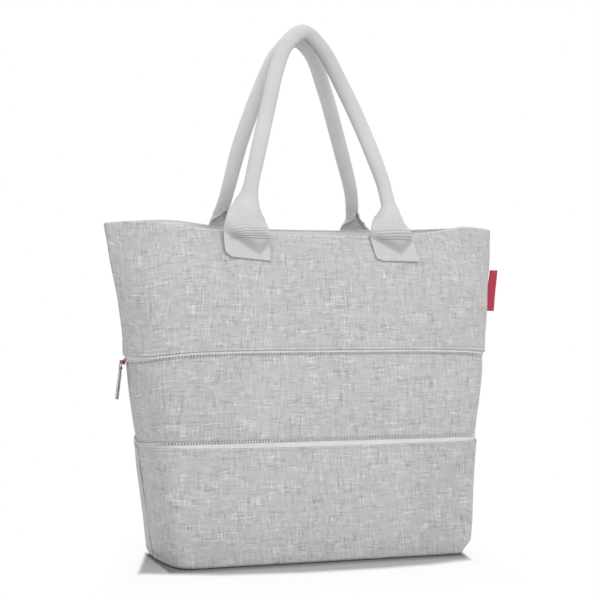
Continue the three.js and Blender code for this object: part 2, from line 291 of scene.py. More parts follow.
@dataclass(frozen=True)
class MelangeCloth:
    """Plain-woven cloth of flecked yarns, which shows light and dark dashes both ways."""

    name: str = "melange_cloth"
    yarn: float = 1.2 * MM
    dash: float = 15.0 * MM
    slub: float = 1.8 * MM
    slub_dash: float = 34.0 * MM
    cluster: tuple[float, float] = (21.0 * MM, 17.0 * MM)
    contrast: float = 0.15
    relief: float = 0.1 * MM
    dark: Colour = grey(0.27, 0.012)
    light: Colour = grey(0.73, 0.012)
    roughness: float = 0.88

    def flecks(self, graph: ShaderGraph, along: Value, across: Value, seed: float) -> Value:
        """Tones of one set of yarns: short dashes on each yarn, and long ones on the thicker slubs.

        Args:
            graph: The material's graph.
            along: Distance along the yarns.
            across: Distance across them.
            seed: Sets one direction apart from the other.

        Returns:
            A tone from about -1 to 1.
        """
        yarn = (across / self.yarn).floor()
        fleck = graph.speckle(along / self.dash + yarn * 0.37, yarn * 7.31 + seed, 1.0)
        slub = (across / self.slub).floor()
        streak = graph.speckle(along / self.slub_dash + slub * 0.61, slub * 5.17 - seed, 1.0)
        fine = fleck.smooth(0.56, 0.66) - fleck.smooth(0.44, 0.34)
        return fine + 0.7 * (streak.smooth(0.60, 0.68) - streak.smooth(0.40, 0.32))

    def material(self) -> bpy.types.Material:
        """Makes the cloth's material.

        Returns:
            The material.
        """
        graph = ShaderGraph(bpy.data.materials.new(self.name))
        across, up = graph.surface("cloth")
        wide, tall = self.cluster
        density = graph.speckle(across / wide, up / tall, 1.0).smooth(0.3, 0.68) * 0.9 + 0.45
        weft = self.flecks(graph, across, up, 3.7)
        warp = self.flecks(graph, up, across, 91.3)
        tone = 0.52 + self.contrast * density * (weft + warp)
        patches = graph.mottle(9.0, 2.0)
        # Painted light: the wear mark lightens the rolled panel edges, partly wear and partly a painted
        # highlight, and the crease mark paints shade into seams, under hems, behind the teeth and along the
        # floor.
        used = 0.12 * graph.attribute("wear_and_highlight") - 0.4 * graph.attribute("crease")
        shade = tone + 0.12 * (patches - 0.5) + used
        wave_across = (across * (pi / self.yarn)).sine()
        wave_up = (up * (pi / self.yarn)).sine()
        over = (wave_across * wave_up).smooth(-0.35, 0.35)
        yarns = over * abs(wave_up) + (1.0 - over) * abs(wave_across)
        return graph.close(
            Base_Color=graph.blend(shade, self.dark, self.light),
            Roughness=self.roughness - 0.1 * tone,
            Normal=graph.relief(yarns * 0.6 + tone * 0.4, self.relief),
            Sheen_Weight=0.1,
            Sheen_Roughness=0.5,
            Specular_IOR_Level=0.25,
        )


@dataclass(frozen=True)
class CoatedBack:
    """The coated inner side of the cloth, smoother and lighter."""

    name: str = "coated_back"
    yarn: float = 1.15 * MM
    relief: float = 0.08 * MM
    dark: Colour = grey(0.82, 0.01)
    light: Colour = grey(0.90, 0.01)

    def material(self) -> bpy.types.Material:
        """Makes the coating's material.

        Returns:
            The material.
        """
        graph = ShaderGraph(bpy.data.materials.new(self.name))
        across, up = graph.surface("cloth")
        weave = (across * (pi / self.yarn)).sine() * (up * (pi / self.yarn)).sine()
        patches = graph.mottle(18.0)
        return graph.close(
            Base_Color=graph.blend(patches.smooth(0.3, 0.7), self.dark, self.light),
            Roughness=0.5 + 0.25 * patches,
            Normal=graph.relief(weave * 0.5 + 0.5, self.relief),
            Specular_IOR_Level=0.35,
        )


@dataclass(frozen=True)
class RibbedWebbing:
    """Light webbing with close ribs across its length, fine yarns along it and painted shade in its creases.
    """

    name: str = "ribbed_webbing"
    rib: float = 1.83 * MM
    yarn: float = 0.8 * MM
    fleck: tuple[float, float] = (0.9 * MM, 6.0 * MM)
    relief: float = 0.16 * MM
    dark: Colour = grey(0.45, 0.012)
    light: Colour = grey(0.69, 0.012)
    # The painted shade's colour, for the creases, the slopes below them and the top fold.
    creased: Colour = grey(0.17, 0.02)

    def material(self) -> bpy.types.Material:
        """Makes the webbing's material.

        Returns:
            The material.
        """
        graph = ShaderGraph(bpy.data.materials.new(self.name))
        across, along = graph.surface("webbing")
        rib, yarn = along.wave(self.rib), across.wave(self.yarn)
        wide, long = self.fleck
        fleck = graph.speckle(across / wide, along / long)
        patches = graph.mottle(22.0)
        tone = 0.45 + 0.16 * rib + 0.1 * yarn + 0.4 * (fleck - 0.5) + 0.4 * (patches - 0.5)
        clean = graph.blend(tone, self.dark, self.light)
        return graph.close(
            # The crease mark blends in painted shade.
            Base_Color=graph.blend(graph.attribute("crease"), clean, self.creased),
            Roughness=0.85 - 0.15 * rib,
            Normal=graph.relief(rib * 0.7 + yarn * 0.3, self.relief),
            Sheen_Weight=0.1,
            Sheen_Roughness=0.5,
            Specular_IOR_Level=0.3,
        )


@dataclass(frozen=True)
class WovenTape:
    """Zip tape, woven in a fine herringbone."""

    name: str = "woven_tape"
    rib: float = 1.0 * MM
    turn: float = 3.2 * MM
    relief: float = 0.12 * MM
    dark: Colour = grey(0.61, 0.01)
    light: Colour = grey(0.80, 0.01)

    def material(self) -> bpy.types.Material:
        """Makes the tape's material.

        Returns:
            The material.
        """
        graph = ShaderGraph(bpy.data.materials.new(self.name))
        along, up = graph.surface("tape")
        bend = abs((up * (pi / self.turn)).sine()) * self.turn * 0.6
        rib = (along + bend).wave(self.rib)
        patches = graph.mottle(30.0)
        tone = 0.25 + 0.35 * rib + 0.5 * patches
        return graph.close(
            Base_Color=graph.blend(tone.smooth(0.1, 1.0), self.dark, self.light),
            Roughness=0.8 - 0.1 * rib,
            Normal=graph.relief(rib, self.relief),
            Sheen_Weight=0.1,
            Sheen_Roughness=0.5,
            Specular_IOR_Level=0.3,
        )


@dataclass(frozen=True)
class MouldedPlastic:
    """Moulded plastic with a faint grain, scuffed lighter in places."""

    name: str
    dark: Colour
    light: Colour
    grain: float = 900.0
    roughness: float = 0.38
    scuffs: float = 140.0
    relief: float = 0.05 * MM

    def material(self) -> bpy.types.Material:
        """Makes the plastic's material.

        Returns:
            The material.
        """
        graph = ShaderGraph(bpy.data.materials.new(self.name))
        grain = graph.mottle(self.grain, 2.0)
        scuff = graph.mottle(self.scuffs, 4.0)
        return graph.close(
            Base_Color=graph.blend(scuff.smooth(0.3, 0.75), self.dark, self.light),
            Roughness=self.roughness + 0.25 * scuff,
            Normal=graph.relief(grain, self.relief),
        )


@dataclass(frozen=True)
class RedLacquer:
    """Lacquered metal in deep and bright reds mottled at random, with rubbed patches that are rougher and
    less coated.
    """

    name: str = "red_lacquer"
    flow: float = 260.0
    rubs: float = 700.0
    relief: float = 0.04 * MM
    deep: Colour = (0.20, 0.012, 0.03)
    bright: Colour = (0.46, 0.03, 0.07)

    def material(self) -> bpy.types.Material:
        """Makes the lacquer's material.

        Returns:
            The material.
        """
        graph = ShaderGraph(bpy.data.materials.new(self.name))
        flow = graph.mottle(self.flow)
        rubbed = graph.mottle(self.rubs, 4.0).smooth(0.62, 0.72)
        return graph.close(
            Base_Color=graph.blend(flow.smooth(0.3, 0.7), self.deep, self.bright),
            Roughness=0.24 + 0.2 * rubbed,
            Normal=graph.relief(flow, self.relief),
            Coat_Weight=0.6 - 0.3 * rubbed,
            Coat_Roughness=0.12,
        )


@dataclass(frozen=True)
class WovenRibbon:
    """Red ribbon in a fine twill."""

    name: str = "woven_ribbon"
    twill: float = 0.7 * MM
    yarn: tuple[float, float] = (3.0 * MM, 0.5 * MM)
    relief: float = 0.1 * MM
    deep: Colour = (0.30, 0.016, 0.045)
    bright: Colour = (0.53, 0.04, 0.085)

    def material(self) -> bpy.types.Material:
        """Makes the ribbon's material.

        Returns:
            The material.
        """
        graph = ShaderGraph(bpy.data.materials.new(self.name))
        across, up = graph.surface("ribbon")
        twill = (across + up * 0.8).wave(self.twill)
        long, thick = self.yarn
        yarn = graph.speckle(across / long, up / thick)
        tone = 0.45 * twill + 0.55 * yarn
        return graph.close(
            Base_Color=graph.blend(tone.smooth(0.2, 0.8), self.deep, self.bright),
            Roughness=0.7 - 0.15 * twill,
            Normal=graph.relief(tone, self.relief),
            Sheen_Weight=0.15,
            Sheen_Roughness=0.4,
        )


@dataclass(frozen=True)
class SewingThread:
    """Spun thread of the stitches."""

    name: str
    dark: Colour
    light: Colour
    twist: float = 1500.0
    relief: float = 0.06 * MM

    def material(self) -> bpy.types.Material:
        """Makes the thread's material.

        Returns:
            The material.
        """
        graph = ShaderGraph(bpy.data.materials.new(self.name))
        twist = graph.mottle(self.twist, 2.0)
        return graph.close(
            Base_Color=graph.blend(twist.smooth(0.3, 0.7), self.dark, self.light),
            Roughness=0.6 + 0.2 * twist,
            Normal=graph.relief(twist, self.relief),
        )


@dataclass(frozen=True)
class FloorWithPaintedShadow:
    """A grey floor patch round the foot of the bag, a painted shadow that fades into the white surround."""

    name: str = "floor_painted_shadow"
    corners: tuple[tuple[float, float], ...] = (
        (-0.2362, -0.0955),
        (-0.1475, -0.1345),
        (-0.056, -0.1495),
        (0.043, -0.1515),
        (0.110, -0.146),
        (0.170, -0.130),
        (0.209, 0.042),
        (-0.1975, 0.042),
    )
    foot: tuple[float, float, float] = (-0.199, 0.2, -0.0925)
    foot_sharper: tuple[float, float] = (9.0, 4.0)
    side_sharper: float = 4.0
    # The patch's greys are a painted shadow of the bag, and shade is a darker painted contact shadow at the
    # foot.
    dark: Colour = grey(0.42)
    light: Colour = grey(0.46)
    shade: Colour = grey(0.2)
    soft: float = 14.0 * MM
    dim: float = 31.0 * MM
    far: float = 0.16
    faint: float = 0.05

    def depth(self, x: Value, y: Value) -> Value:
        """Finds how far a place lies inside the painted shadow patch round the foot, counted more at its
        sides.

        Args:
            x: Place across.
            y: Place from front to back.

        Returns:
            The distance from the nearest edge, negative outside the patch.
        """
        found: Value | None = None
        for (x0, y0), (x1, y1) in zip(self.corners, self.corners[1:] + self.corners[:1]):
            length = hypot(x1 - x0, y1 - y0)
            sharper = lerp(1.0, self.side_sharper, smooth(0.5, 0.9, abs(y1 - y0) / length)) / length
            inside = (y - y0) * (sharper * (x1 - x0)) - (x - x0) * (sharper * (y1 - y0))
            found = inside if found is None else found.least(inside)
        return found

    def under(self, x: Value, y: Value) -> Value:
        """How far under the bag a place lies, negative outside it and more so at the sides.

        Args:
            x: Place across.
            y: Place from front to back.

        Returns:
            The distance.
        """
        left, right, front = self.foot
        at_left, at_right = self.foot_sharper
        return (y - front).least((x - left) * at_left).least((right - x) * at_right)

    def material(self) -> bpy.types.Material:
        """Makes the floor's material.

        Returns:
            The material.
        """
        graph = ShaderGraph(bpy.data.materials.new(self.name))
        x, y = graph.split(graph.node("ShaderNodeTexCoord", None, None, "Object"))
        # Painted shadow: the grey patch, darker towards the foot, with its alpha giving the shadow's outline
        # and soft edges.
        depth, shaded = self.depth(x, y), self.under(x, y).smooth(-self.dim, 0.0)
        close = depth.smooth(-self.soft, self.soft)
        patches = graph.mottle(1.5)
        return graph.close(
            Base_Color=graph.blend(shaded, graph.blend(patches, self.dark, self.light), self.shade),
            Roughness=0.75 + 0.1 * patches,
            Specular_IOR_Level=0.1,
            Alpha=close + self.faint * depth.smooth(-self.far, 0.0) * (1.0 - close),
        )


@dataclass(frozen=True)
class Label:
    """What a piece is called, its slot, which nothing here reads, and what it stands for."""

    name: str
    slot: Slot
    body: Body = Body.BAG
    replaces: str | None = None


def make_piece(
    mesh: bmesh.types.BMesh, label: Label, finishes: Sequence[bpy.types.Material]
) -> bpy.types.Object:
    """Turns a bmesh into a piece of the bag.

    Args:
        mesh: The finished shape, which is freed.
        label: The piece's name, body and replaced node; its slot is not used.
        finishes: Its materials in order.

    Returns:
        The new object.
    """
    for face in mesh.faces:
        face.smooth = True
    data = bpy.data.meshes.new(label.name)
    mesh.to_mesh(data)
    mesh.free()
    for finish in finishes:
        data.materials.append(finish)
    piece = bpy.data.objects.new(label.name, data)
    bpy.context.scene.collection.objects.link(piece)
    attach(piece, label.body.value)
    if label.replaces:
        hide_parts(label.replaces)
    LOG.info("%s: %d faces", label.name, len(data.polygons))
    return piece


def thicken(piece: bpy.types.Object, thickness: float, inner: int = 0) -> None:
    """Gives a sheet its thickness, inwards from its outer face.

    Args:
        piece: The sheet's object.
        thickness: Its thickness.
        inner: How many slots further the inner side's material is.
    """
    wall = piece.modifiers.new("thickness", "SOLIDIFY")
    wall.thickness = thickness
    wall.offset = -1.0
    wall.material_offset = inner


def round_edges(
    mesh: bmesh.types.BMesh, edges: Sequence[bmesh.types.BMEdge], size: float, steps: int = 1
) -> None:
    """Bevels some edges by a size in a number of steps.

    Args:
        mesh: The bmesh they belong to.
        edges: The edges.
        size: How far back the bevel goes.
        steps: Its number of segments.
    """
    bmesh.ops.bevel(
        mesh, geom=edges, offset=size, segments=steps, profile=0.5, affect="EDGES", material=-1
    )


def edges_at(verts: Sequence[bmesh.types.BMVert]) -> list[bmesh.types.BMEdge]:
    """The edges that meet at some points, each of them once."""
    return list({edge: None for vert in verts for edge in vert.link_edges})


def sharp_edges(edges: Iterable[bmesh.types.BMEdge]) -> list[bmesh.types.BMEdge]:
    """The edges along which two faces meet at a clear angle."""
    return [edge for edge in edges if edge.calc_face_angle(0.0) > SHARP_ANGLE]


def curved_grid(
    columns: int,
    rows: int,
    place: Callable[[int, int], Vector],
    flat: Callable[[int, int], tuple[float, float]],
    coordinates: str,
    marks: dict[str, Callable[[int, int], float]] | None = None,
) -> bmesh.types.BMesh:
    """Makes a grid and lays it on a curved surface.

    Args:
        columns: Faces across.
        rows: Faces up.
        place: Gives the place of a column and row.
        flat: Gives its flat coordinates in metres.
        coordinates: The name of the flat coordinates.
        marks: Numbers that are kept on the points, such as painted shade, and wear with a painted highlight,
            by name.

    Returns:
        The grid.
    """
    mesh = bmesh.new()
    layer = mesh.loops.layers.uv.new(coordinates)
    for name in marks or {}:
        mesh.verts.layers.float.new(name)
    bmesh.ops.create_grid(mesh, x_segments=columns, y_segments=rows, size=1.0)
    spots: dict[bmesh.types.BMVert, tuple[int, int]] = {}
    for vert in mesh.verts:
        spots[vert] = (round((vert.co.x + 1.0) * columns / 2.0), round((vert.co.y + 1.0) * rows / 2.0))
    kept = [(mesh.verts.layers.float[name], mark) for name, mark in (marks or {}).items()]
    for vert, spot in spots.items():
        vert.co = place(*spot)
        for number, mark in kept:
            vert[number] = mark(*spot)
    for face in mesh.faces:
        for loop in face.loops:
            loop[layer].uv = flat(*spots[loop.vert])
    return mesh


def running_lengths(points: Sequence[Vector]) -> list[float]:
    """Distances along a row of points, from its first.

    Args:
        points: The points in order.

    Returns:
        One distance for each point.
    """
    lengths = [0.0]
    for before, after in zip(points, points[1:]):
        lengths.append(lengths[-1] + (after - before).length)
    return lengths


@dataclass(frozen=True)
class Section:
    """The bag's outline at one height."""

    shift: float
    half_width: float
    half_depth: float
    squareness: float


@dataclass(frozen=True)
class ZipLine:
    """Heights of the line where one half's tape and teeth meet, and the tape that shows beside it."""

    middle: float
    left_seam: float
    right_seam: float
    shown: float
    shown_left: float
    shown_right: float
    bend: float
    widening: float

    def height(self, share: float) -> float:
        """Height at a share of the half width, which dips towards the seams."""
        seam = self.left_seam if share < 0.0 else self.right_seam
        return lerp(self.middle, seam, abs(share) ** self.bend)

    def tape(self, share: float) -> float:
        """How much of the tape shows there."""
        end = self.shown_left if share < 0.0 else self.shown_right
        return lerp(self.shown, end, abs(share) ** self.widening)


@dataclass(frozen=True)
class BagForm:
    """The lofted outer form of the whole bag: height, shift, half width, half depth and squareness."""

    levels: tuple[tuple[float, ...], ...] = (
        (0.000, 0.0019, 0.2000, 0.0935, 36.0),
        (0.140, 0.0005, 0.2185, 0.084, 28.0),
        (0.248, 0.0013, 0.2358, 0.077, 22.0),
        (0.275, 0.0024, 0.2386, 0.0744, 18.0),
        (0.310, 0.0038, 0.2451, 0.071, 13.0),
        (0.360, 0.0032, 0.2545, 0.065, 6.0),
        (0.414, -0.0004, 0.2608, 0.057, 2.6),
    )
    seam_gap: float = 0.15 * MM
    rim_peak: float = 0.414
    rim_peak_at: float = 0.8
    rim_seam_drop: float = 0.0025
    rim_sag_front: float = 0.0165
    rim_sag_back: float = 0.0035
    rim_lift: float = 0.0064
    rim_lift_at: float = -0.63
    rim_lift_wide: float = 0.22
    toe: float = 8.9 * MM
    toe_from: float = 0.85
    toe_full: float = 0.94
    zip_upper: ZipLine = ZipLine(0.2538, 0.2435, 0.2475, 0.0025, 0.0065, 0.0025, 5.0, 24.0)
    zip_lower: ZipLine = ZipLine(0.1458, 0.1395, 0.1458, 0.0062, 0.0026, 0.0045, 28.0, 3.0)

    def section(self, height: float) -> Section:
        """Finds the outline at a height, smoothly between the levels.

        Args:
            height: Height above the floor.

        Returns:
            The outline.
        """
        levels = self.levels
        last = len(levels) - 1
        index = 0
        while index < last - 1 and height > levels[index + 1][0]:
            index += 1
        span = levels[index + 1][0] - levels[index][0]
        t = min(1.0, max(0.0, (height - levels[index][0]) / span))

        def slope(row: int, key: int) -> float:
            """Slope of one column at a level, over this span."""
            low, high = levels[max(0, row - 1)], levels[min(last, row + 1)]
            return (high[key] - low[key]) / (high[0] - low[0]) * span

        values = [
            levels[index][key] * (2 * t**3 - 3 * t**2 + 1)
            + slope(index, key) * (t**3 - 2 * t**2 + t)
            + levels[index + 1][key] * (3 * t**2 - 2 * t**3)
            + slope(index + 1, key) * (t**3 - t**2)
            for key in range(1, 5)
        ]
        return Section(*values)

    def point(self, side: Side, share: float, height: float, inset: float = 0.0) -> Vector:
        """Finds a point of the form.

        Args:
            side: Front or back.
            share: From -1 at the left seam to 1 at the right.
            height: Height above the floor.
            inset: How far inside the outer surface.

        Returns:
            The point.
        """
        cut = self.section(height)
        seam_inset = inset * hypot(1.0, cut.half_width / (cut.half_depth * cut.squareness))
        x = cut.shift + (cut.half_width - seam_inset) * share
        y = (cut.half_depth - inset) * (1.0 - abs(share) ** cut.squareness) + self.seam_gap
        return Vector((x, side.value * y, height))

    def rim(self, side: Side, share: float) -> float:
        """Height of the rim: a sag between the handles, a drop at the seams, a lift at the back left.

        Args:
            side: Front or back.
            share: From the left seam to the right.

        Returns:
            The height.
        """
        along = abs(share) / self.rim_peak_at
        peak = self.rim_peak
        if side is Side.BACK:
            peak += self.rim_lift * bell(share - self.rim_lift_at, self.rim_lift_wide) * (1.0 - share**8)
        if along < 1.0:
            sag = self.rim_sag_front if side is Side.FRONT else self.rim_sag_back
            return peak - sag * (1.0 - along**3) ** 1.2
        return peak - self.rim_seam_drop * ((along - 1.0) / (1.0 / self.rim_peak_at - 1.0)) ** 2

    def toe_in(self, share: float) -> float:
        """How far the foot is drawn in towards its right end."""
        return self.toe * smooth(self.toe_from, self.toe_full, share)


@dataclass(frozen=True)
class Fold:
    """A soft fold across a corner of the bag: its place, turn, length and depth, and its valley."""

    x: float
    z: float
    turn: float
    length: float
    depth: float
    wide: float = 3.5 * MM
    valley_at: float = 7.0 * MM
    valley_wide: float = 4.0 * MM
    valley: float = 0.6

    def rise(self, x: float, z: float) -> float:
        """How far the fold pushes the cloth out at a place.

        Args:
            x: Place across.
            z: Height above the floor.

        Returns:
            The distance.
        """
        along = (x - self.x) * cos(self.turn) + (z - self.z) * sin(self.turn)
        off = (z - self.z) * cos(self.turn) - (x - self.x) * sin(self.turn)
        ridge = bell(off, self.wide) - self.valley * bell(off - self.valley_at, self.valley_wide)
        return self.depth * bell(along, self.length) * ridge


@dataclass
class ClothTier:
    """One tier of the bag: a front and a back panel, sewn together at the side seams."""

    form: BagForm
    cloth: bpy.types.Material
    backing: bpy.types.Material
    name: str = "tier"
    columns: int = 240
    crowding: float = 1.6
    thickness: float = 1.6 * MM
    seam_groove: float = 1.3 * MM
    seam_width: float = 2.4 * MM
    # Painted shade in the side seams.
    seam_painted_shade: float = 1.0
    dent: float = 1.3 * MM
    dent_size: float = 95.0 * MM
    finer_dent: float = 0.45
    seed: float = 1.0
    # Painted shade towards the left and right ends of a panel.
    left_shade: float = 0.0
    right_shade: float = 0.0
    # Lighter band along the panel edges: rubbed wear and a painted highlight on the rolled edge.
    rubbed: float = 1.0
    wear_and_highlight_at: float = 1.6 * MM
    wear_and_highlight_wide: float = 1.0 * MM
    folds: tuple[Fold, ...] = ()
    corner_turn: float = 0.9

    def share(self, column: float) -> float:
        """Share of the half width at a column, closer together towards the seams."""
        return crowded(2.0 * column / self.columns - 1.0, self.crowding)

    def levels(self, side: Side, share: float) -> list[tuple[float, float]]:
        """Height and inset of each row of the panel at one place along it."""
        raise NotImplementedError

    def worked(self, side: Side, share: float, height: float) -> float:
        """How far the sewing pushes the cloth out at a place, apart from its soft dents."""
        return 0.0

    def loosened(self, side: Side, share: float, height: float) -> float:
        """How free the cloth is to dent at a place, from 0 along its seams to 1."""
        return 1.0

    def creased(self, side: Side, share: float, height: float) -> float:
        """How much painted shade the cloth gets: most in the side seams, a little towards the ends of a
        panel.

        Args:
            side: Front or back.
            share: From the left seam to the right.
            height: Height above the floor.

        Returns:
            The share of the full painted shade.
        """
        along = abs(share)
        ends = smooth(0.3, 0.8, along) * (1.0 - smooth(0.88, 0.95, along))
        seam = bell(self.form.point(side, share, height).y, 0.7 * self.seam_width)
        return self.seam_painted_shade * seam + ends * (self.left_shade if share < 0.0 else self.right_shade)

    def lay(self, side: Side, share: float, height: float, inset: float) -> Vector:
        """Places a point of the panel with its dents, folds and seam groove.

        Args:
            side: Front or back.
            share: From the left seam to the right.
            height: Height above the floor.
            inset: How far inside the form the panel lies there.

        Returns:
            The point.
        """
        smooth_point = self.form.point(side, share, height, inset)
        x, y = smooth_point.x, abs(smooth_point.y)
        face = side.value * 3.1 + self.seed
        scale = 1.0 / self.dent_size
        dents = ripple(x * scale, height * scale * 1.3, face)
        dents += self.finer_dent * ripple(x * scale * 2.3 + 7.0, height * scale * 2.0 + y * 8.0, face + 11.0)
        out = self.dent * dents * self.loosened(side, share, height)
        out += self.worked(side, share, height)
        if side is Side.FRONT:
            out += sum(fold.rise(x - y * self.corner_turn, height) for fold in self.folds)
        out -= self.seam_groove * bell(y, self.seam_width)
        return self.form.point(side, share, height, inset - out)

    def build(self, side: Side) -> bpy.types.Object:
        """Makes one panel.

        Args:
            side: Front or back.

        Returns:
            The panel.
        """
        turn = 1 if side is Side.FRONT else -1
        grid: list[list[Vector]] = []
        creases: list[list[float]] = []
        for column in range(self.columns + 1):
            share = turn * self.share(column)
            levels = self.levels(side, share)
            grid.append([self.lay(side, share, height, inset) for height, inset in levels])
            creases.append([self.creased(side, share, height) for height, _ in levels])
        rows = len(grid[0]) - 1
        ups = [running_lengths(points) for points in grid]
        rounds = [running_lengths([points[row] for points in grid]) for row in range(rows + 1)]
        middle = self.columns // 2

        def flat(column: int, row: int) -> tuple[float, float]:
            """Flat coordinates, measured along the cloth from the middle of its lower edge."""
            return rounds[row][column] - rounds[row][middle] + 2.0 * turn + self.seed, ups[column][row]

        def wear_and_highlight(column: int, row: int) -> float:
            """Lighter near the edges: rubbed wear and a painted highlight on the rolled edge."""
            edge = min(ups[column][row], ups[column][-1] - ups[column][row])
            return self.rubbed * bell(edge - self.wear_and_highlight_at, self.wear_and_highlight_wide)

        # One mark carries the painted shade, the other wear and a painted highlight.
        marks = {"wear_and_highlight": wear_and_highlight, "crease": lambda column, row: creases[column][row]}
        mesh = curved_grid(self.columns, rows, lambda c, r: grid[c][r], flat, "cloth", marks)
        name = f"{self.name}_{side.name.lower()}"
        piece = make_piece(mesh, Label(name, Slot.CLOTH, replaces=name), (self.cloth, self.backing))
        thicken(piece, self.thickness, 1)
        width = sum(lengths[-1] for lengths in rounds) / len(rounds)
        length = sum(lengths[-1] for lengths in ups) / len(ups)
        LOG.info("%s flat: %.3f x %.3f m", name, width, length)
        return piece


@dataclass
class UpperTier(ClothTier):
    """The tier with the rim, down to the hem over the upper zip tape."""

    name: str = "upper"
    seed: float = 2.0
    left_shade: float = 0.14
    right_shade: float = 0.09
    hem_rows: tuple[float, ...] = (0.0, 0.4, 0.8, 1.2, 1.7, 2.3, 3.0, 3.7, 4.1, 4.5, 4.9, 5.6, 7.0, 9.5, 13.0)
    rim_rows: tuple[float, ...] = (20.0, 16.0, 12.5, 9.5, 7.0, 5.0, 3.6, 2.6, 1.9, 1.3, 0.8, 0.4, 0.0)
    free_rows: int = 30
    hem_line: float = 4.3 * MM
    hem_painted_shade: float = 0.6
    hem_held: float = 30.0 * MM
    rim_held: float = 0.4
    edge_turn: float = 1.0 * MM
    edge_bulge: float = 0.45 * MM
    groove: float = 0.45 * MM
    pucker: float = 0.7 * MM
    rim_doubled: float = 0.3 * MM
    rim_turn: float = 1.0 * MM
    rim_wave: float = 0.4 * MM

    def hem(self, share: float) -> float:
        """Height of the lower hem."""
        return self.form.zip_upper.height(share) + self.form.zip_upper.tape(share)

    def creased(self, side: Side, share: float, height: float) -> float:
        """Painted shade in the side seams and under the hem's edge."""
        return super().creased(side, share, height) + self.hem_painted_shade * bell(height - self.hem(share), 0.6 * MM)

    def levels(self, side: Side, share: float) -> list[tuple[float, float]]:
        """Height and inset of each row: hem, free cloth and rim.

        Args:
            side: Front or back.
            share: From the left seam to the right.

        Returns:
            The rows from the bottom up.
        """
        low, high = self.hem(share), self.form.rim(side, share)
        heights = [low + row * MM for row in self.hem_rows]
        top = [high - row * MM for row in self.rim_rows]
        steps = range(1, self.free_rows)
        heights += [lerp(heights[-1], top[0], step / self.free_rows) for step in steps]
        return [(height, 0.0) for height in heights + top]

    def worked(self, side: Side, share: float, height: float) -> float:
        """Hem edge rolled under, its sewn line, puckers along the zip, and the doubled rim.

        Args:
            side: Front or back.
            share: From the left seam to the right.
            height: Height above the floor.

        Returns:
            The distance, negative inwards.
        """
        above, below = height - self.hem(share), self.form.rim(side, share) - height
        out = -self.edge_turn * bell(above, 0.6 * MM) + self.edge_bulge * bell(above - 1.7 * MM, 1.0 * MM)
        out -= self.groove * bell(above - self.hem_line, 0.6 * MM)
        out += self.pucker * exp(-above / (9.0 * MM)) * ripple(share * 17.0, 0.3, self.seed + side.value)
        out += self.rim_doubled * (1.0 - smooth(10.0 * MM, 18.0 * MM, below))
        out -= self.rim_turn * bell(below, 0.9 * MM)
        return out + self.rim_wave * exp(-below / (16.0 * MM)) * ripple(share * 11.0, 5.0, self.seed)

    def loosened(self, side: Side, share: float, height: float) -> float:
        """Free in the middle, held at the hem and a little at the rim."""
        at_rim = lerp(self.rim_held, 1.0, smooth(0.0, 0.05, 0.41 - height))
        return smooth(0.0, self.hem_held, height - self.hem(share)) * at_rim


@dataclass
class MiddleTier(ClothTier):
    """The expansion band between the two halves of the zip, set in behind both tapes."""

    name: str = "middle"
    seed: float = 5.0
    left_shade: float = 0.18
    right_shade: float = 0.06
    dent: float = 1.6 * MM
    recess: float = 3.0 * MM
    swell: float = 2.2 * MM
    lap: float = 8.0 * MM
    past_lower: float = 3.3 * MM
    past_upper: float = 2.2 * MM
    behind_teeth_painted_shade: float = 0.3
    pucker: float = 0.8 * MM
    pucker_run: float = 12.0 * MM
    held: float = 22.0 * MM
    edge_rows: tuple[float, ...] = (0.0, 0.7, 1.4, 2.2, 3.2, 5.0, 7.5, 10.5, 14.0)
    free_rows: int = 26

    def ends(self, share: float) -> tuple[float, float]:
        """Heights where the cloth comes out from behind the lower and the upper row of teeth."""
        lower, upper = self.form.zip_lower.height(share), self.form.zip_upper.height(share)
        return lower + self.past_lower, upper - self.past_upper

    def levels(self, side: Side, share: float) -> list[tuple[float, float]]:
        """Height and inset of each row: laps at both ends, and a soft swelling between the teeth.

        Args:
            side: Front or back.
            share: From the left seam to the right.

        Returns:
            The rows from the bottom up.
        """
        low, high = self.ends(share)
        heights = [low + row * MM for row in self.edge_rows]
        top = [high - row * MM for row in reversed(self.edge_rows)]
        steps = range(1, self.free_rows)
        heights += [lerp(heights[-1], top[0], step / self.free_rows) for step in steps] + top
        bottom_lap = (self.form.zip_lower.height(share) - self.lap, self.recess)
        top_lap = (self.form.zip_upper.height(share) + self.lap, self.recess)
        arch = [max(0.0, sin(pi * (height - low) / (high - low))) ** 0.8 for height in heights]
        rows = [(height, self.recess - self.swell * rise) for height, rise in zip(heights, arch)]
        return [bottom_lap, *rows, top_lap]

    def creased(self, side: Side, share: float, height: float) -> float:
        """Painted shade in the side seams and behind both rows of teeth.

        Args:
            side: Front or back.
            share: From the left seam to the right.
            height: Height above the floor.

        Returns:
            The share of the full painted shade.
        """
        low, high = self.ends(share)
        above, below = height - low, high - height
        behind = 1.0 - smooth(-0.5 * MM, 2.2 * MM, min(above, below))
        return super().creased(side, share, height) + self.behind_teeth_painted_shade * behind

    def worked(self, side: Side, share: float, height: float) -> float:
        """Puckers that run off from both rows of teeth.

        Args:
            side: Front or back.
            share: From the left seam to the right.
            height: Height above the floor.

        Returns:
            The distance, negative inwards.
        """
        low, high = self.ends(share)
        above, below = max(0.0, height - low), max(0.0, high - height)
        rising = exp(-above / self.pucker_run) * smooth(0.0, 2.0 * MM, above)
        falling = exp(-below / self.pucker_run) * smooth(0.0, 2.0 * MM, below)
        rising *= ripple(share * 15.0, 1.7, self.seed + side.value)
        falling *= ripple(share * 16.0, 8.2, self.seed - side.value)
        return self.pucker * rising + self.pucker * falling

    def loosened(self, side: Side, share: float, height: float) -> float:
        """Free between the rows of teeth."""
        low, high = self.ends(share)
        return smooth(0.0, self.held, height - low) * smooth(0.0, self.held, high - height)


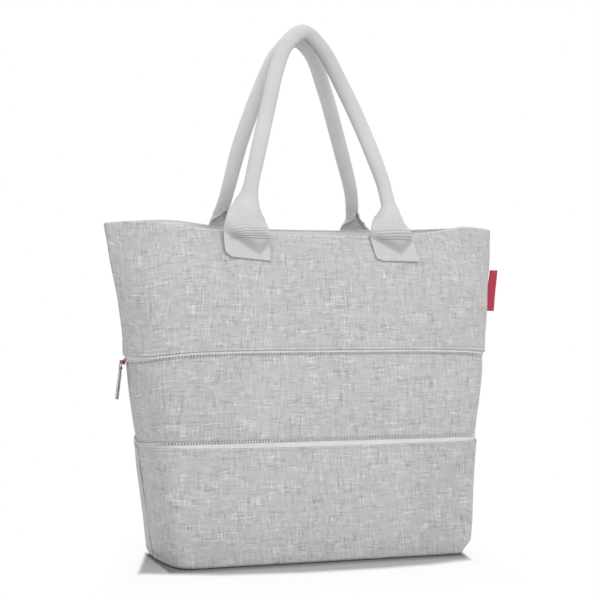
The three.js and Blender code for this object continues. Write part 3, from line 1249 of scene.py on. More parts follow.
@dataclass
class LowerTier(ClothTier):
    """The tier that stands on the floor and turns under along its bottom edge."""

    name: str = "lower"
    seed: float = 9.0
    left_shade: float = 0.1
    right_shade: float = 0.26
    rubbed: float = 0.3
    seam_painted_shade: float = 1.6
    bottom_round: float = 4.5 * MM
    fold_steps: int = 8
    toe_high: float = 16.0 * MM
    hem_rows: tuple[float, ...] = (13.0, 9.5, 7.0, 5.2, 4.2, 3.8, 3.4, 3.0, 2.3, 1.7, 1.2, 0.8, 0.4, 0.0)
    free_rows: int = 34
    hem_line: float = 3.4 * MM
    hem_painted_shade: float = 0.3
    foot_seam_painted_shade: float = 0.6
    floor_contact_painted_shade: float = 1.2
    hem_held: float = 30.0 * MM
    edge_turn: float = 0.9 * MM
    edge_bulge: float = 0.3 * MM
    groove: float = 0.2 * MM
    pucker: float = 0.7 * MM
    foot_seam: float = 8.0 * MM
    foot_groove: float = 0.8 * MM
    folds: tuple[Fold, ...] = (
        Fold(-0.262, 0.078, -0.45, 0.030, 1.1 * MM),
        Fold(-0.258, 0.052, -0.65, 0.026, 1.0 * MM),
        Fold(-0.250, 0.034, -0.75, 0.020, 0.8 * MM),
        Fold(-0.235, 0.098, -0.30, 0.026, 0.7 * MM),
    )

    def hem(self, share: float) -> float:
        """Height of the upper hem."""
        return self.form.zip_lower.height(share) - self.form.zip_lower.tape(share)

    def at_foot_seam(self, share: float, height: float, wide: float) -> float:
        """How near a place lies to the seam across the foot of each side, from 0 to 1."""
        return smooth(0.955, 0.985, abs(share)) * bell(height - self.foot_seam, wide)

    def creased(self, side: Side, share: float, height: float) -> float:
        """Painted shade in the side seams, at the hem's edge, along the floor and in the seam across each
        foot.

        Args:
            side: Front or back.
            share: From the left seam to the right.
            height: Height above the floor.

        Returns:
            The share of the full painted shade.
        """
        foot = self.at_foot_seam(share, height, 1.2 * MM)
        hem = bell(height - self.hem(share), 0.6 * MM)
        # Painted contact shade where the cloth meets the floor.
        under = 1.0 - smooth(0.4 * MM, 2.4 * MM, height)
        dark = self.hem_painted_shade * hem + self.foot_seam_painted_shade * foot + self.floor_contact_painted_shade * under
        return super().creased(side, share, height) + dark

    def levels(self, side: Side, share: float) -> list[tuple[float, float]]:
        """Height and inset of each row: bottom fold, free cloth and hem.

        Args:
            side: Front or back.
            share: From the left seam to the right.

        Returns:
            The rows from the bottom up.
        """
        radius = self.bottom_round
        rows = []
        for step in range(self.fold_steps):
            angle = pi / 2.0 * (1.0 - step / self.fold_steps)
            rows.append((radius * (1.0 - sin(angle)), radius * (1.0 - cos(angle))))
        top = [self.hem(share) - row * MM for row in self.hem_rows]
        rows += [(lerp(radius, top[0], step / self.free_rows), 0.0) for step in range(self.free_rows)]
        return rows + [(height, 0.0) for height in top]

    def worked(self, side: Side, share: float, height: float) -> float:
        """Hem edge, puckers under the tape, and the seam across the foot of each side.

        Args:
            side: Front or back.
            share: From the left seam to the right.
            height: Height above the floor.

        Returns:
            The distance, negative inwards.
        """
        below = self.hem(share) - height
        out = -self.edge_turn * bell(below, 0.7 * MM) + self.edge_bulge * bell(below - 1.5 * MM, 1.0 * MM)
        out -= self.groove * bell(below - self.hem_line, 0.6 * MM)
        out += self.pucker * exp(-below / (9.0 * MM)) * ripple(share * 16.0, 3.3, self.seed + side.value)
        out -= self.foot_groove * self.at_foot_seam(share, height, 1.6 * MM)
        return out - self.form.toe_in(share) * max(0.0, 1.0 - height / self.toe_high)

    def loosened(self, side: Side, share: float, height: float) -> float:
        """Free in the middle, held at the hem and the bottom fold."""
        return smooth(0.0, self.hem_held, self.hem(share) - height) * smooth(0.006, 0.05, height)


@dataclass
class BasePanel:
    """The flat bottom between the turned-under edges."""

    form: BagForm
    cloth: bpy.types.Material
    backing: bpy.types.Material
    inset: float = 4.8 * MM
    thickness: float = 2.2 * MM
    columns: int = 120
    rows: int = 40
    end: float = 0.9994
    crowding: float = 1.7

    def build(self) -> bpy.types.Object:
        """Makes the base, flat between the edges of the lower tier.

        Returns:
            The base.
        """

        def place(column: int, row: int) -> Vector:
            """Lies between the front and back edges.

            Args:
                column: The column.
                row: The row.

            Returns:
                The point.
            """
            share = self.end * crowded(2.0 * column / self.columns - 1.0, self.crowding)
            edge = self.form.point(Side.BACK, share, 0.0, self.inset + self.form.toe_in(share))
            return Vector((edge.x, edge.y * (1.0 - 2.0 * row / self.rows), 0.0))

        def flat(column: int, row: int) -> tuple[float, float]:
            """Flat coordinates, straight from the place."""
            spot = place(column, row)
            return spot.x, spot.y

        mesh = curved_grid(self.columns, self.rows, place, flat, "cloth")
        label = Label("base_panel", Slot.CLOTH, replaces="base_panel")
        piece = make_piece(mesh, label, (self.cloth, self.backing))
        thicken(piece, self.thickness, 1)
        section = self.form.section(0.0)
        width = 2.0 * (section.half_width - self.inset)
        length = 2.0 * (section.half_depth - self.inset)
        LOG.info("base flat: %.3f x %.3f m", width, length)
        return piece


@dataclass
class ZipHalf:
    """One half of the zip: a tape round the bag and a row of slanting teeth along its edge."""

    form: BagForm
    line: ZipLine
    name: str
    upwards: float
    tape_finish: bpy.types.Material
    teeth_finish: bpy.types.Material
    tooth: tuple[float, float, float]
    tape_inset: float = 1.9 * MM
    tape_thick: float = 0.8 * MM
    tucked: float = 6.0 * MM
    tape_rows: tuple[float, ...] = (-0.2, 0.3, 0.8, 1.6, 2.4, 3.2, 4.2, 5.4, 7.0, 8.6)
    bead: float = 0.35 * MM
    ease: float = 0.25 * MM
    columns: int = 360
    crowding: float = 1.8
    pitch: float = 3.7 * MM
    tooth_out: float = 0.4 * MM
    tooth_round: float = 0.42 * MM
    tooth_drop: float = 0.42
    sunk: float = 1.4 * MM
    sunk_over: tuple[float, float] = (0.88, 0.95)
    slant: float = 26.0
    fine_steps: int = 1000
    near: int = 5

    def around(self, place: float) -> tuple[Side, float]:
        """Side and share at a place from 0 to 2: along the front, then back along the back.

        Args:
            place: Place round the bag.

        Returns:
            The side and the share.
        """
        side = Side.FRONT if place < 1.0 else Side.BACK
        u = 2.0 * place - 1.0 if place < 1.0 else 3.0 - 2.0 * place
        return side, crowded(u, self.crowding)

    def spot(self, place: float, offset: float, inset: float) -> Vector:
        """A point of the band, offset from the zip line towards its own tape.

        Args:
            place: Place round the bag.
            offset: Distance from the zip line.
            inset: How far inside the form.

        Returns:
            The point.
        """
        side, share = self.around(place)
        height = self.line.height(share) + self.upwards * offset
        return self.form.point(side, share, height, inset)

    def tape(self) -> bpy.types.Object:
        """Makes the tape.

        Returns:
            The tape.
        """
        hidden = max(self.line.shown, self.line.shown_left) + self.tucked
        offsets = [row * MM for row in self.tape_rows] + [hidden]
        if self.upwards < 0.0:
            offsets.reverse()

        def place(column: int, row: int) -> Vector:
            """Lies behind the hem, with a beaded edge under the teeth.

            Args:
                column: The column.
                row: The row.

            Returns:
                The point.
            """
            offset = offsets[row]
            ease = self.ease * ripple(column * 0.21, offset * 60.0, 4.0) * bell(offset - 3.0 * MM, 3.0 * MM)
            bead = self.bead * bell(offset, 0.8 * MM)
            return self.spot(2.0 * column / self.columns, offset, self.tape_inset - bead - ease)

        grid = [[place(column, row) for row in range(len(offsets))] for column in range(self.columns + 1)]
        lengths = running_lengths([points[len(offsets) // 2] for points in grid])
        mesh = curved_grid(
            self.columns,
            len(offsets) - 1,
            lambda column, row: grid[column][row],
            lambda column, row: (lengths[column], offsets[row]),
            "tape",
        )
        label = Label(f"{self.name}_tape", Slot.TAPE, replaces=f"{self.name}_tape")
        piece = make_piece(mesh, label, (self.tape_finish,))
        thicken(piece, self.tape_thick)
        return piece

    def teeth(self) -> bpy.types.Object:
        """Makes the row of teeth, which sinks in at the right side.

        Returns:
            The teeth.
        """
        wide, high, deep = self.tooth
        last = 2 * self.fine_steps
        fine = []
        for place in (step / self.fine_steps for step in range(last + 1)):
            sunk = self.sunk * smooth(*self.sunk_over, self.around(place)[1])
            fine.append(self.spot(place, -high * self.tooth_drop, self.tape_inset + sunk))
        lengths = running_lengths(fine)
        count = floor(lengths[-1] / self.pitch)
        mesh = bmesh.new()
        step = 0
        for index in range(count):
            wanted = (index + 0.5) * lengths[-1] / count
            while lengths[step + 1] < wanted:
                step += 1
            share = (wanted - lengths[step]) / (lengths[step + 1] - lengths[step])
            middle = fine[step].lerp(fine[step + 1], share)
            along = (fine[min(step + self.near + 1, last)] - fine[max(step - self.near, 0)]).normalized()
            out = along.cross(Vector((0.0, 0.0, 1.0))).normalized()
            facing = Matrix((along, out, out.cross(along))).transposed().to_4x4()
            facing.translation = middle + out * self.tooth_out
            turned = facing @ Matrix.Rotation(radians(self.slant), 4, "Y")
            bmesh.ops.create_cube(mesh, size=1.0, matrix=turned @ Matrix.Diagonal((wide, deep, high, 1.0)))
        round_edges(mesh, mesh.edges[:], self.tooth_round)
        label = Label(f"{self.name}_teeth", Slot.TEETH, replaces=f"{self.name}_teeth")
        return make_piece(mesh, label, (self.teeth_finish,))


@dataclass(frozen=True)
class Flare:
    """How the webbing lifts off the bag and creases at one end of a handle, by height and place across."""

    tip: float
    tip_at: float
    left_edge: float
    right_edge: float
    left_drop: float = 0.0
    right_drop: float = 0.0
    cut: float = 0.0
    rounded: float = 0.0
    lift: float = 8.0 * MM
    run: float = 16.0 * MM
    pitch: float = 3.65 * MM
    deep: float = 1.2 * MM
    wander: float = 0.5 * MM
    crease_from: tuple[float, float] = (0.3895, 0.3935)
    strong_to: tuple[float, float] = (0.402, 0.408)
    faint_to: tuple[float, float] = (0.418, 0.434)
    faint: float = 0.25
    settled_over: tuple[float, float] = (0.408, 0.446)
    slope_to: tuple[float, float] = (0.393, 0.403)
    # Painted shade on the slope below the creases, and in the creases.
    slope_run: float = 4.0 * MM
    slope_painted_shade: float = 0.25
    crease_painted_shade: float = 0.46

    def past(self, across: float, height: float) -> float:
        """How far a place lies above the line where the webbing leaves the bag.

        Args:
            across: From -1 at the left edge to 1 at the right, as seen.
            height: Height above the floor.

        Returns:
            The distance, negative below the line.
        """
        left = across < self.tip_at
        edge = self.left_edge if left else self.right_edge
        reach = 1.0 + self.tip_at if left else 1.0 - self.tip_at
        return height - lerp(self.tip, edge, (abs(across - self.tip_at) / reach) ** 1.15)

    def creased(self, across: float, length: float, height: float) -> float:
        """How deep a place lies in the creases where the webbing bends out over the rim, from 0 to 1.

        Args:
            across: From -1 at the left edge to 1 at the right, as seen.
            length: Distance from the end of the webbing.
            height: Height above the floor.

        Returns:
            The share of the full depth.
        """
        drop = (self.left_drop if across < 0.0 else self.right_drop) * across**2
        wander = self.wander * ripple(across * 2.2, length * 30.0, self.tip_at * 9.0)
        valley = (1.0 - abs(sin(pi * (length + drop + wander) / self.pitch))) ** 1.3
        level = height + drop
        start = smooth(*self.crease_from, level)
        strong = start * (1.0 - smooth(*self.strong_to, level))
        faint = start * (1.0 - smooth(*self.faint_to, level))
        inside = smooth(-0.9, -0.6, across) * (1.0 - smooth(0.84, 1.0, across))
        return valley * inside * max(strong, self.faint * faint)

    def raised(self, across: float, length: float, height: float) -> float:
        """How far the webbing stands out beyond its plain roll.

        Args:
            across: From -1 at the left edge to 1 at the right, as seen.
            length: Distance from the end of the webbing.
            height: Height above the floor.

        Returns:
            The distance.
        """
        lift = self.lift * smooth(0.0, self.run, self.past(across, height))
        lift *= 1.0 - smooth(*self.settled_over, height)
        return lift - self.deep * self.creased(across, length, height)

    def shaded(self, across: float, length: float, height: float) -> float:
        """How much painted shade the webbing gets in its creases and on the slope below them, from 0 to 1.

        Args:
            across: From -1 at the left edge to 1 at the right, as seen.
            length: Distance from the end of the webbing.
            height: Height above the floor.

        Returns:
            The share of the painted shade's full tone.
        """
        slope = smooth(0.0, self.slope_run, self.past(across, height))
        slope *= 1.0 - smooth(*self.slope_to, height)
        return self.crease_painted_shade * self.creased(across, length, height) + self.slope_painted_shade * slope


@dataclass
class WebbingHandle:
    """A handle: one strip of webbing, flat where it is sewn on and rolled into a tube above the rim."""

    name: str
    side: Side
    route: tuple[tuple[float, float, float, float], ...]
    flares: tuple[Flare, Flare]
    webbing: bpy.types.Material
    width: float = 56.5 * MM
    thickness: float = 2.2 * MM
    rolled_turn: float = 0.998
    flat_turn: float = 0.001
    oval_wide: float = 0.99
    oval_deep: float = 0.84
    flattened: float = 1.1
    flattened_over: tuple[float, float] = (0.455, 0.515)
    seam_turn: float = 0.0
    folded: float = 1.0
    folded_over: tuple[float, float] = (0.425, 0.475)
    # Painted shade past the fold at the top of the strip, set by this field and the three below it.
    fold_shade: float = 0.0
    fold_high: tuple[float, float] = (0.515, 0.65)
    fold_from: tuple[float, float] = (-12.0 * MM, 2.0 * MM)
    fold_half: tuple[float, float] = (0.5, 0.72)
    levelled_over: tuple[float, float] = (0.388, 0.425)
    cut_over: tuple[float, float] = (0.369, 0.39)
    sewn_below: float = 0.39
    corner_run: float = 10.0 * MM
    columns: int = 44
    fine_steps: int = 4000
    end_run: float = 18.0 * MM
    end_step: float = 1.1 * MM
    flare_run: float = 80.0 * MM
    flare_step: float = 0.46 * MM
    tube_step: float = 2.6 * MM
    strips: list[list[Vector]] = field(default_factory=list)

    def middle(self, station: float) -> Vector:
        """A point of the route through its rows, smooth and without overshoot.

        Args:
            station: Place along the route, counted in its rows.

        Returns:
            The point.
        """
        last = len(self.route) - 1
        index = min(last - 1, max(0, floor(station)))
        weight = station - index
        rows = [Vector((x, self.side.value * out, z)) for x, out, z, _ in self.route]
        first = rows[index - 1] if index > 0 else 2.0 * rows[0] - rows[1]
        fourth = rows[index + 2] if index + 2 <= last else 2.0 * rows[last] - rows[last - 1]
        second, third = rows[index], rows[index + 1]
        pairs = ((first, second), (second, third), (third, fourth))
        gap0, gap1, gap2 = (sqrt((end - start).length) for start, end in pairs)
        leave = (second - first) / gap0 - (third - first) / (gap0 + gap1) + (third - second) / gap1
        arrive = (third - second) / gap1 - (fourth - second) / (gap1 + gap2) + (fourth - third) / gap2
        leave, arrive = leave * gap1, arrive * gap1
        return (
            second
            + leave * weight
            + (3.0 * (third - second) - 2.0 * leave - arrive) * weight**2
            + (2.0 * (second - third) + leave + arrive) * weight**3
        )

    def roll(self, station: float) -> float:
        """Share of the roll at a station, 0 flat and 1 closed.

        Args:
            station: Place along the route, counted in its rows.

        Returns:
            The share.
        """
        index = min(len(self.route) - 2, floor(station))
        low, high = self.route[index][3], self.route[index + 1][3]
        return lerp(low, high, smooth(0.0, 1.0, station - index) * 0.5 + (station - index) * 0.5)

    def stride(self, from_end: float) -> float:
        """Distance between stations at a distance from the end of the webbing.

        Args:
            from_end: Distance from the nearer end.

        Returns:
            The distance.
        """
        if from_end <= self.end_run:
            return self.end_step
        return self.flare_step if from_end < self.flare_run else self.tube_step

    def stations(self) -> list[float]:
        """Places along the route, close together at the two flares.

        Returns:
            The places in order.
        """
        last = len(self.route) - 1
        places = [last * step / self.fine_steps for step in range(self.fine_steps + 1)]
        lengths = running_lengths([self.middle(place) for place in places])
        found = [0.0]
        reached = 0.0
        for place, length in zip(places, lengths):
            if length - reached >= self.stride(min(length, lengths[-1] - length)):
                found.append(place)
                reached = length
        found[-1] = float(last)
        return found

    def rolled(self, across: float, roll: float, height: float, turned: float) -> tuple[float, float]:
        """Finds where a point across the webbing lies once it is rolled.

        Args:
            across: From -1 at one edge to 1 at the other.
            roll: Share of the roll.
            height: Height above the floor.
            turned: Angle by which the open seam is turned from the back of the roll.

        Returns:
            How far sideways, and how far back from the outer face.
        """
        wider = self.oval_wide * lerp(1.0, self.flattened, smooth(*self.flattened_over, height))
        turn = 2.0 * pi * self.rolled_turn * roll
        if turn < self.flat_turn:
            return across * self.width / 2.0, 0.0
        radius = self.width / turn
        angle = across * turn / 2.0 - turned
        wide = radius * sin(angle) * lerp(1.0, wider, roll)
        deeper = self.oval_deep * lerp(self.folded, 1.0, smooth(*self.folded_over, height))
        centre = radius * lerp(1.0, deeper, smooth(0.0, 0.5, roll) if self.folded < 1.0 else roll)
        return wide, centre * (1.0 - cos(angle))

    def past_fold(self, seen: float, at: Vector) -> float:
        """How much painted shade the strip gets past the fold at its top, where it turns down to the right.

        Args:
            seen: From -1 at the left edge to 1 at the right, as seen.
            at: The middle of the strip there.

        Returns:
            The share of the painted shade's full tone.
        """
        near = smooth(*self.fold_high, at.z) * smooth(*self.fold_from, at.x)
        outer = 1.0 - smooth(*self.fold_half, abs(seen))
        return self.fold_shade * near * outer * lerp(1.0, 0.4, smooth(-0.45, 0.1, seen))

    def directions(self, before: Vector, after: Vector, height: float) -> tuple[Vector, Vector]:
        """Finds which ways the strip faces between two points of its route.

        Args:
            before: The point before.
            after: The point after.
            height: Height above the floor.

        Returns:
            The way out of its face, and the way across it, which is level where it is sewn on.
        """
        along = (after - before).normalized()
        outward = Vector((0.0, self.side.value, 0.0))
        outward = (outward - along * along.dot(outward)).normalized()
        sideways = along.cross(outward)
        level = Vector((1.0 if sideways.x > 0.0 else -1.0, 0.0, 0.0))
        return outward, level.lerp(sideways, smooth(*self.levelled_over, height)).normalized()

    def build(self) -> bpy.types.Object:
        """Makes the handle.

        Returns:
            The handle.
        """
        stations = self.stations()
        middles = [self.middle(station) for station in stations]
        lengths = running_lengths(middles)
        shades: list[list[float]] = []
        for index, station in enumerate(stations):
            middle, height = middles[index], middles[index].z
            from_end = min(lengths[index], lengths[-1] - lengths[index])
            before, after = middles[max(0, index - 1)], middles[min(len(middles) - 1, index + 1)]
            outward, sideways = self.directions(before, after, height)
            roll = self.roll(station)
            right = station > (len(self.route) - 1) / 2.0
            flare = self.flares[right]
            mirrored = self.side.value if right else -self.side.value
            turned = radians(self.seam_turn) * sideways.x * smooth(0.55, 1.0, roll)
            strip, shade = [], []
            for column in range(self.columns + 1):
                across = 2.0 * column / self.columns - 1.0
                wide, deep = self.rolled(across, roll, height, turned)
                seen = across * mirrored * (1.0 if sideways.x * mirrored >= 0.0 else -1.0)
                place = (seen, from_end, height)
                spot = middle + sideways * wide + outward * (flare.raised(*place) - deep)
                spot.z -= flare.cut * seen * (1.0 - smooth(*self.cut_over, height))
                corner = smooth(0.6, 1.0, -seen) ** 2 * (1.0 - smooth(0.0, self.corner_run, from_end))
                spot.z += flare.rounded * corner
                strip.append(spot)
                # Painted shade in the creases, on the slopes and past the top fold.
                shade.append(flare.shaded(*place) + self.past_fold(seen, middle))
            self.strips.append(strip)
            shades.append(shade)
        half = self.width / 2.0
        mesh = curved_grid(
            len(stations) - 1,
            self.columns,
            lambda column, row: self.strips[column][row],
            lambda column, row: (half * (2.0 * row / self.columns - 1.0), lengths[column]),
            "webbing",
            {"crease": lambda column, row: shades[column][row]},
        )
        mesh.normal_update()
        sewn = [face for face in mesh.faces if face.calc_center_median().z < self.sewn_below]
        if sum(face.normal.y * self.side.value for face in sewn) < 0.0:
            bmesh.ops.reverse_faces(mesh, faces=mesh.faces[:])
        piece = make_piece(mesh, Label(self.name, Slot.WEBBING, replaces=self.name), (self.webbing,))
        thicken(piece, self.thickness)
        return piece


# Rows of each handle's route: x, distance out from the middle of the bag, height and share of the roll.
HANDLE_FRONT = (
    (-0.0950, 0.0668, 0.3675, 0.0),
    (-0.0965, 0.0662, 0.384, 0.0),
    (-0.0975, 0.0675, 0.395, 0.08),
    (-0.0985, 0.0686, 0.405, 0.13),
    (-0.0976, 0.0680, 0.4125, 0.21),
    (-0.0960, 0.0673, 0.420, 0.31),
    (-0.0939, 0.0665, 0.430, 0.45),
    (-0.0918, 0.0641, 0.440, 0.59),
    (-0.0887, 0.0611, 0.4525, 0.86),
    (-0.0856, 0.0583, 0.465, 0.97),
    (-0.0703, 0.0465, 0.520, 1.0),
    (-0.0583, 0.0378, 0.5625, 1.0),
    (-0.0462, 0.0300, 0.605, 1.0),
    (-0.0300, 0.0225, 0.6400, 1.0),
    (-0.0075, 0.0200, 0.6565, 1.0),
    (0.0150, 0.0225, 0.6380, 1.0),
    (0.0405, 0.0325, 0.588, 1.0),
    (0.0664, 0.0455, 0.525, 1.0),
    (0.0858, 0.0582, 0.465, 1.0),
    (0.0880, 0.0611, 0.4525, 1.0),
    (0.0901, 0.0640, 0.440, 0.96),
    (0.0910, 0.0658, 0.430, 0.66),
    (0.0905, 0.0671, 0.420, 0.45),
    (0.0896, 0.0681, 0.4125, 0.32),
    (0.0893, 0.0686, 0.405, 0.20),
    (0.0917, 0.0674, 0.395, 0.10),
    (0.0951, 0.0662, 0.384, 0.02),
    (0.1006, 0.0668, 0.3662, 0.0),
)
HANDLE_BACK = (
    (-0.0920, 0.0672, 0.368, 0.0),
    (-0.0920, 0.0664, 0.384, 0.02),
    (-0.0920, 0.0675, 0.395, 0.14),
    (-0.0922, 0.0688, 0.409, 0.3),
    (-0.0930, 0.0679, 0.4165, 0.43),
    (-0.0942, 0.0667, 0.422, 0.60),
    (-0.0948, 0.0650, 0.430, 0.86),
    (-0.0936, 0.0632, 0.4375, 1.0),
    (-0.0904, 0.0605, 0.450, 1.0),
    (-0.0874, 0.0576, 0.465, 1.0),
    (-0.0755, 0.0470, 0.518, 1.0),
    (-0.0515, 0.0310, 0.592, 1.0),
    (-0.0325, 0.0230, 0.6330, 1.0),
    (-0.0100, 0.0200, 0.6510, 1.0),
    (0.0110, 0.0220, 0.6360, 1.0),
    (0.0335, 0.0315, 0.590, 1.0),
    (0.0556, 0.0435, 0.531, 1.0),
    (0.0788, 0.0572, 0.465, 1.0),
    (0.0824, 0.0602, 0.450, 1.0),
    (0.0850, 0.0632, 0.436, 1.0),
    (0.0873, 0.0648, 0.428, 0.87),
    (0.0885, 0.0665, 0.420, 0.55),
    (0.0893, 0.0677, 0.4145, 0.47),
    (0.0904, 0.0688, 0.409, 0.3),
    (0.0912, 0.0675, 0.395, 0.14),
    (0.0917, 0.0664, 0.384, 0.02),
    (0.0920, 0.0672, 0.368, 0.0),
)


def make_handles(front: bpy.types.Material, back: bpy.types.Material) -> tuple[WebbingHandle, WebbingHandle]:
    """Sets out the two handles with the flares of their ends.

    Args:
        front: The front handle's webbing.
        back: The back handle's webbing, a lighter copy of the front one: painted light on the back handle.

    Returns:
        The front handle and the back one.
    """
    front_flares = (
        Flare(0.3715, 0.5, 0.399, 0.3835, 5.5 * MM, 1.2 * MM, 2.7 * MM, 4.5 * MM, pitch=2.85 * MM),
        Flare(0.3732, 0.2, 0.394, 0.390, 0.3 * MM, 2.5 * MM, 0.2 * MM, 2.5 * MM),
    )
    back_flares = (
        Flare(0.380, 0.1, 0.394, 0.393, 1.0 * MM, 3.0 * MM),
        Flare(0.380, -0.1, 0.393, 0.394, 3.0 * MM, 1.0 * MM),
    )
    return (
        WebbingHandle("handle_front", Side.FRONT, HANDLE_FRONT, front_flares, front, fold_shade=0.45),
        WebbingHandle("handle_back", Side.BACK, HANDLE_BACK, back_flares, back, seam_turn=38.0, folded=0.5),
    )


@dataclass
class Stitching:
    """Rows of short stitches, each a small rounded bar lying on the cloth."""

    thread: bpy.types.Material
    long: float = 2.7 * MM
    thick: float = 0.55 * MM
    pitch: float = 3.5 * MM
    rounded: float = 0.3
    proud: float = 0.1 * MM
    behind: float = 8.0 * MM
    from_seam: int = 6
    finer: int = 4
    from_edge: int = 2

    def sew(self, mesh: bmesh.types.BMesh, path: Sequence[Vector], outs: Sequence[Vector]) -> None:
        """Adds one row of stitches.

        Args:
            mesh: The bmesh that takes them.
            path: Points along the row, close together.
            outs: The way out of the cloth at each point.
        """
        lengths = running_lengths(path)
        step = 0
        for index in range(floor(lengths[-1] / self.pitch)):
            wanted = (index + 0.5) * self.pitch
            while step + 2 < len(path) and lengths[step + 1] < wanted:
                step += 1
            along = (path[step + 1] - path[step]).normalized()
            out = (outs[step] - along * along.dot(outs[step])).normalized()
            facing = Matrix((along, out, along.cross(out))).transposed().to_4x4()
            facing.translation = path[step].lerp(path[step + 1], 0.5)
            size = Matrix.Diagonal((self.long, self.thick, self.thick, 1.0))
            bmesh.ops.create_cube(mesh, size=1.0, matrix=facing @ size)

    def close(self, mesh: bmesh.types.BMesh, name: str, slot: Slot) -> bpy.types.Object:
        """Rounds the stitches and makes them a piece."""
        round_edges(mesh, mesh.edges[:], self.thick * self.rounded)
        return make_piece(mesh, Label(name, slot), (self.thread,))

    def along_tier(self, tier: ClothTier, height: Callable[[float], float], name: str) -> bpy.types.Object:
        """Sews round a tier at a height.

        Args:
            tier: The tier that is sewn.
            height: Gives the height of the row by share.
            name: The new piece's name.

        Returns:
            The stitches.
        """
        mesh = bmesh.new()
        steps = range(self.finer * self.from_seam, self.finer * (tier.columns - self.from_seam) + 1)
        shares = [tier.share(step / self.finer) for step in steps]
        for side in Side:
            path = [tier.lay(side, share, height(share), -self.proud) for share in shares]
            inner = [tier.form.point(side, share, height(share), self.behind) for share in shares]
            self.sew(mesh, path, [(point - behind).normalized() for point, behind in zip(path, inner)])
        return self.close(mesh, name, Slot.CLOTH)

    def along_handle(self, handle: WebbingHandle, rows: Sequence[float], name: str) -> bpy.types.Object:
        """Sews both ends of a handle across its width.

        Args:
            handle: The handle that is sewn on.
            rows: Distances of the rows from the end of the webbing.
            name: The new piece's name.

        Returns:
            The stitches.
        """
        mesh = bmesh.new()
        out = Vector((0.0, handle.side.value, 0.0))
        lengths = running_lengths([strip[handle.columns // 2] for strip in handle.strips])
        for from_end in rows:
            for wanted in (from_end, lengths[-1] - from_end):
                nearest = min(range(len(lengths)), key=lambda index: abs(lengths[index] - wanted))
                strip = handle.strips[nearest][self.from_edge : -self.from_edge]
                strip = [point + out * self.proud for point in strip]
                self.sew(mesh, strip, [out] * len(strip))
        return self.close(mesh, name, Slot.WEBBING)


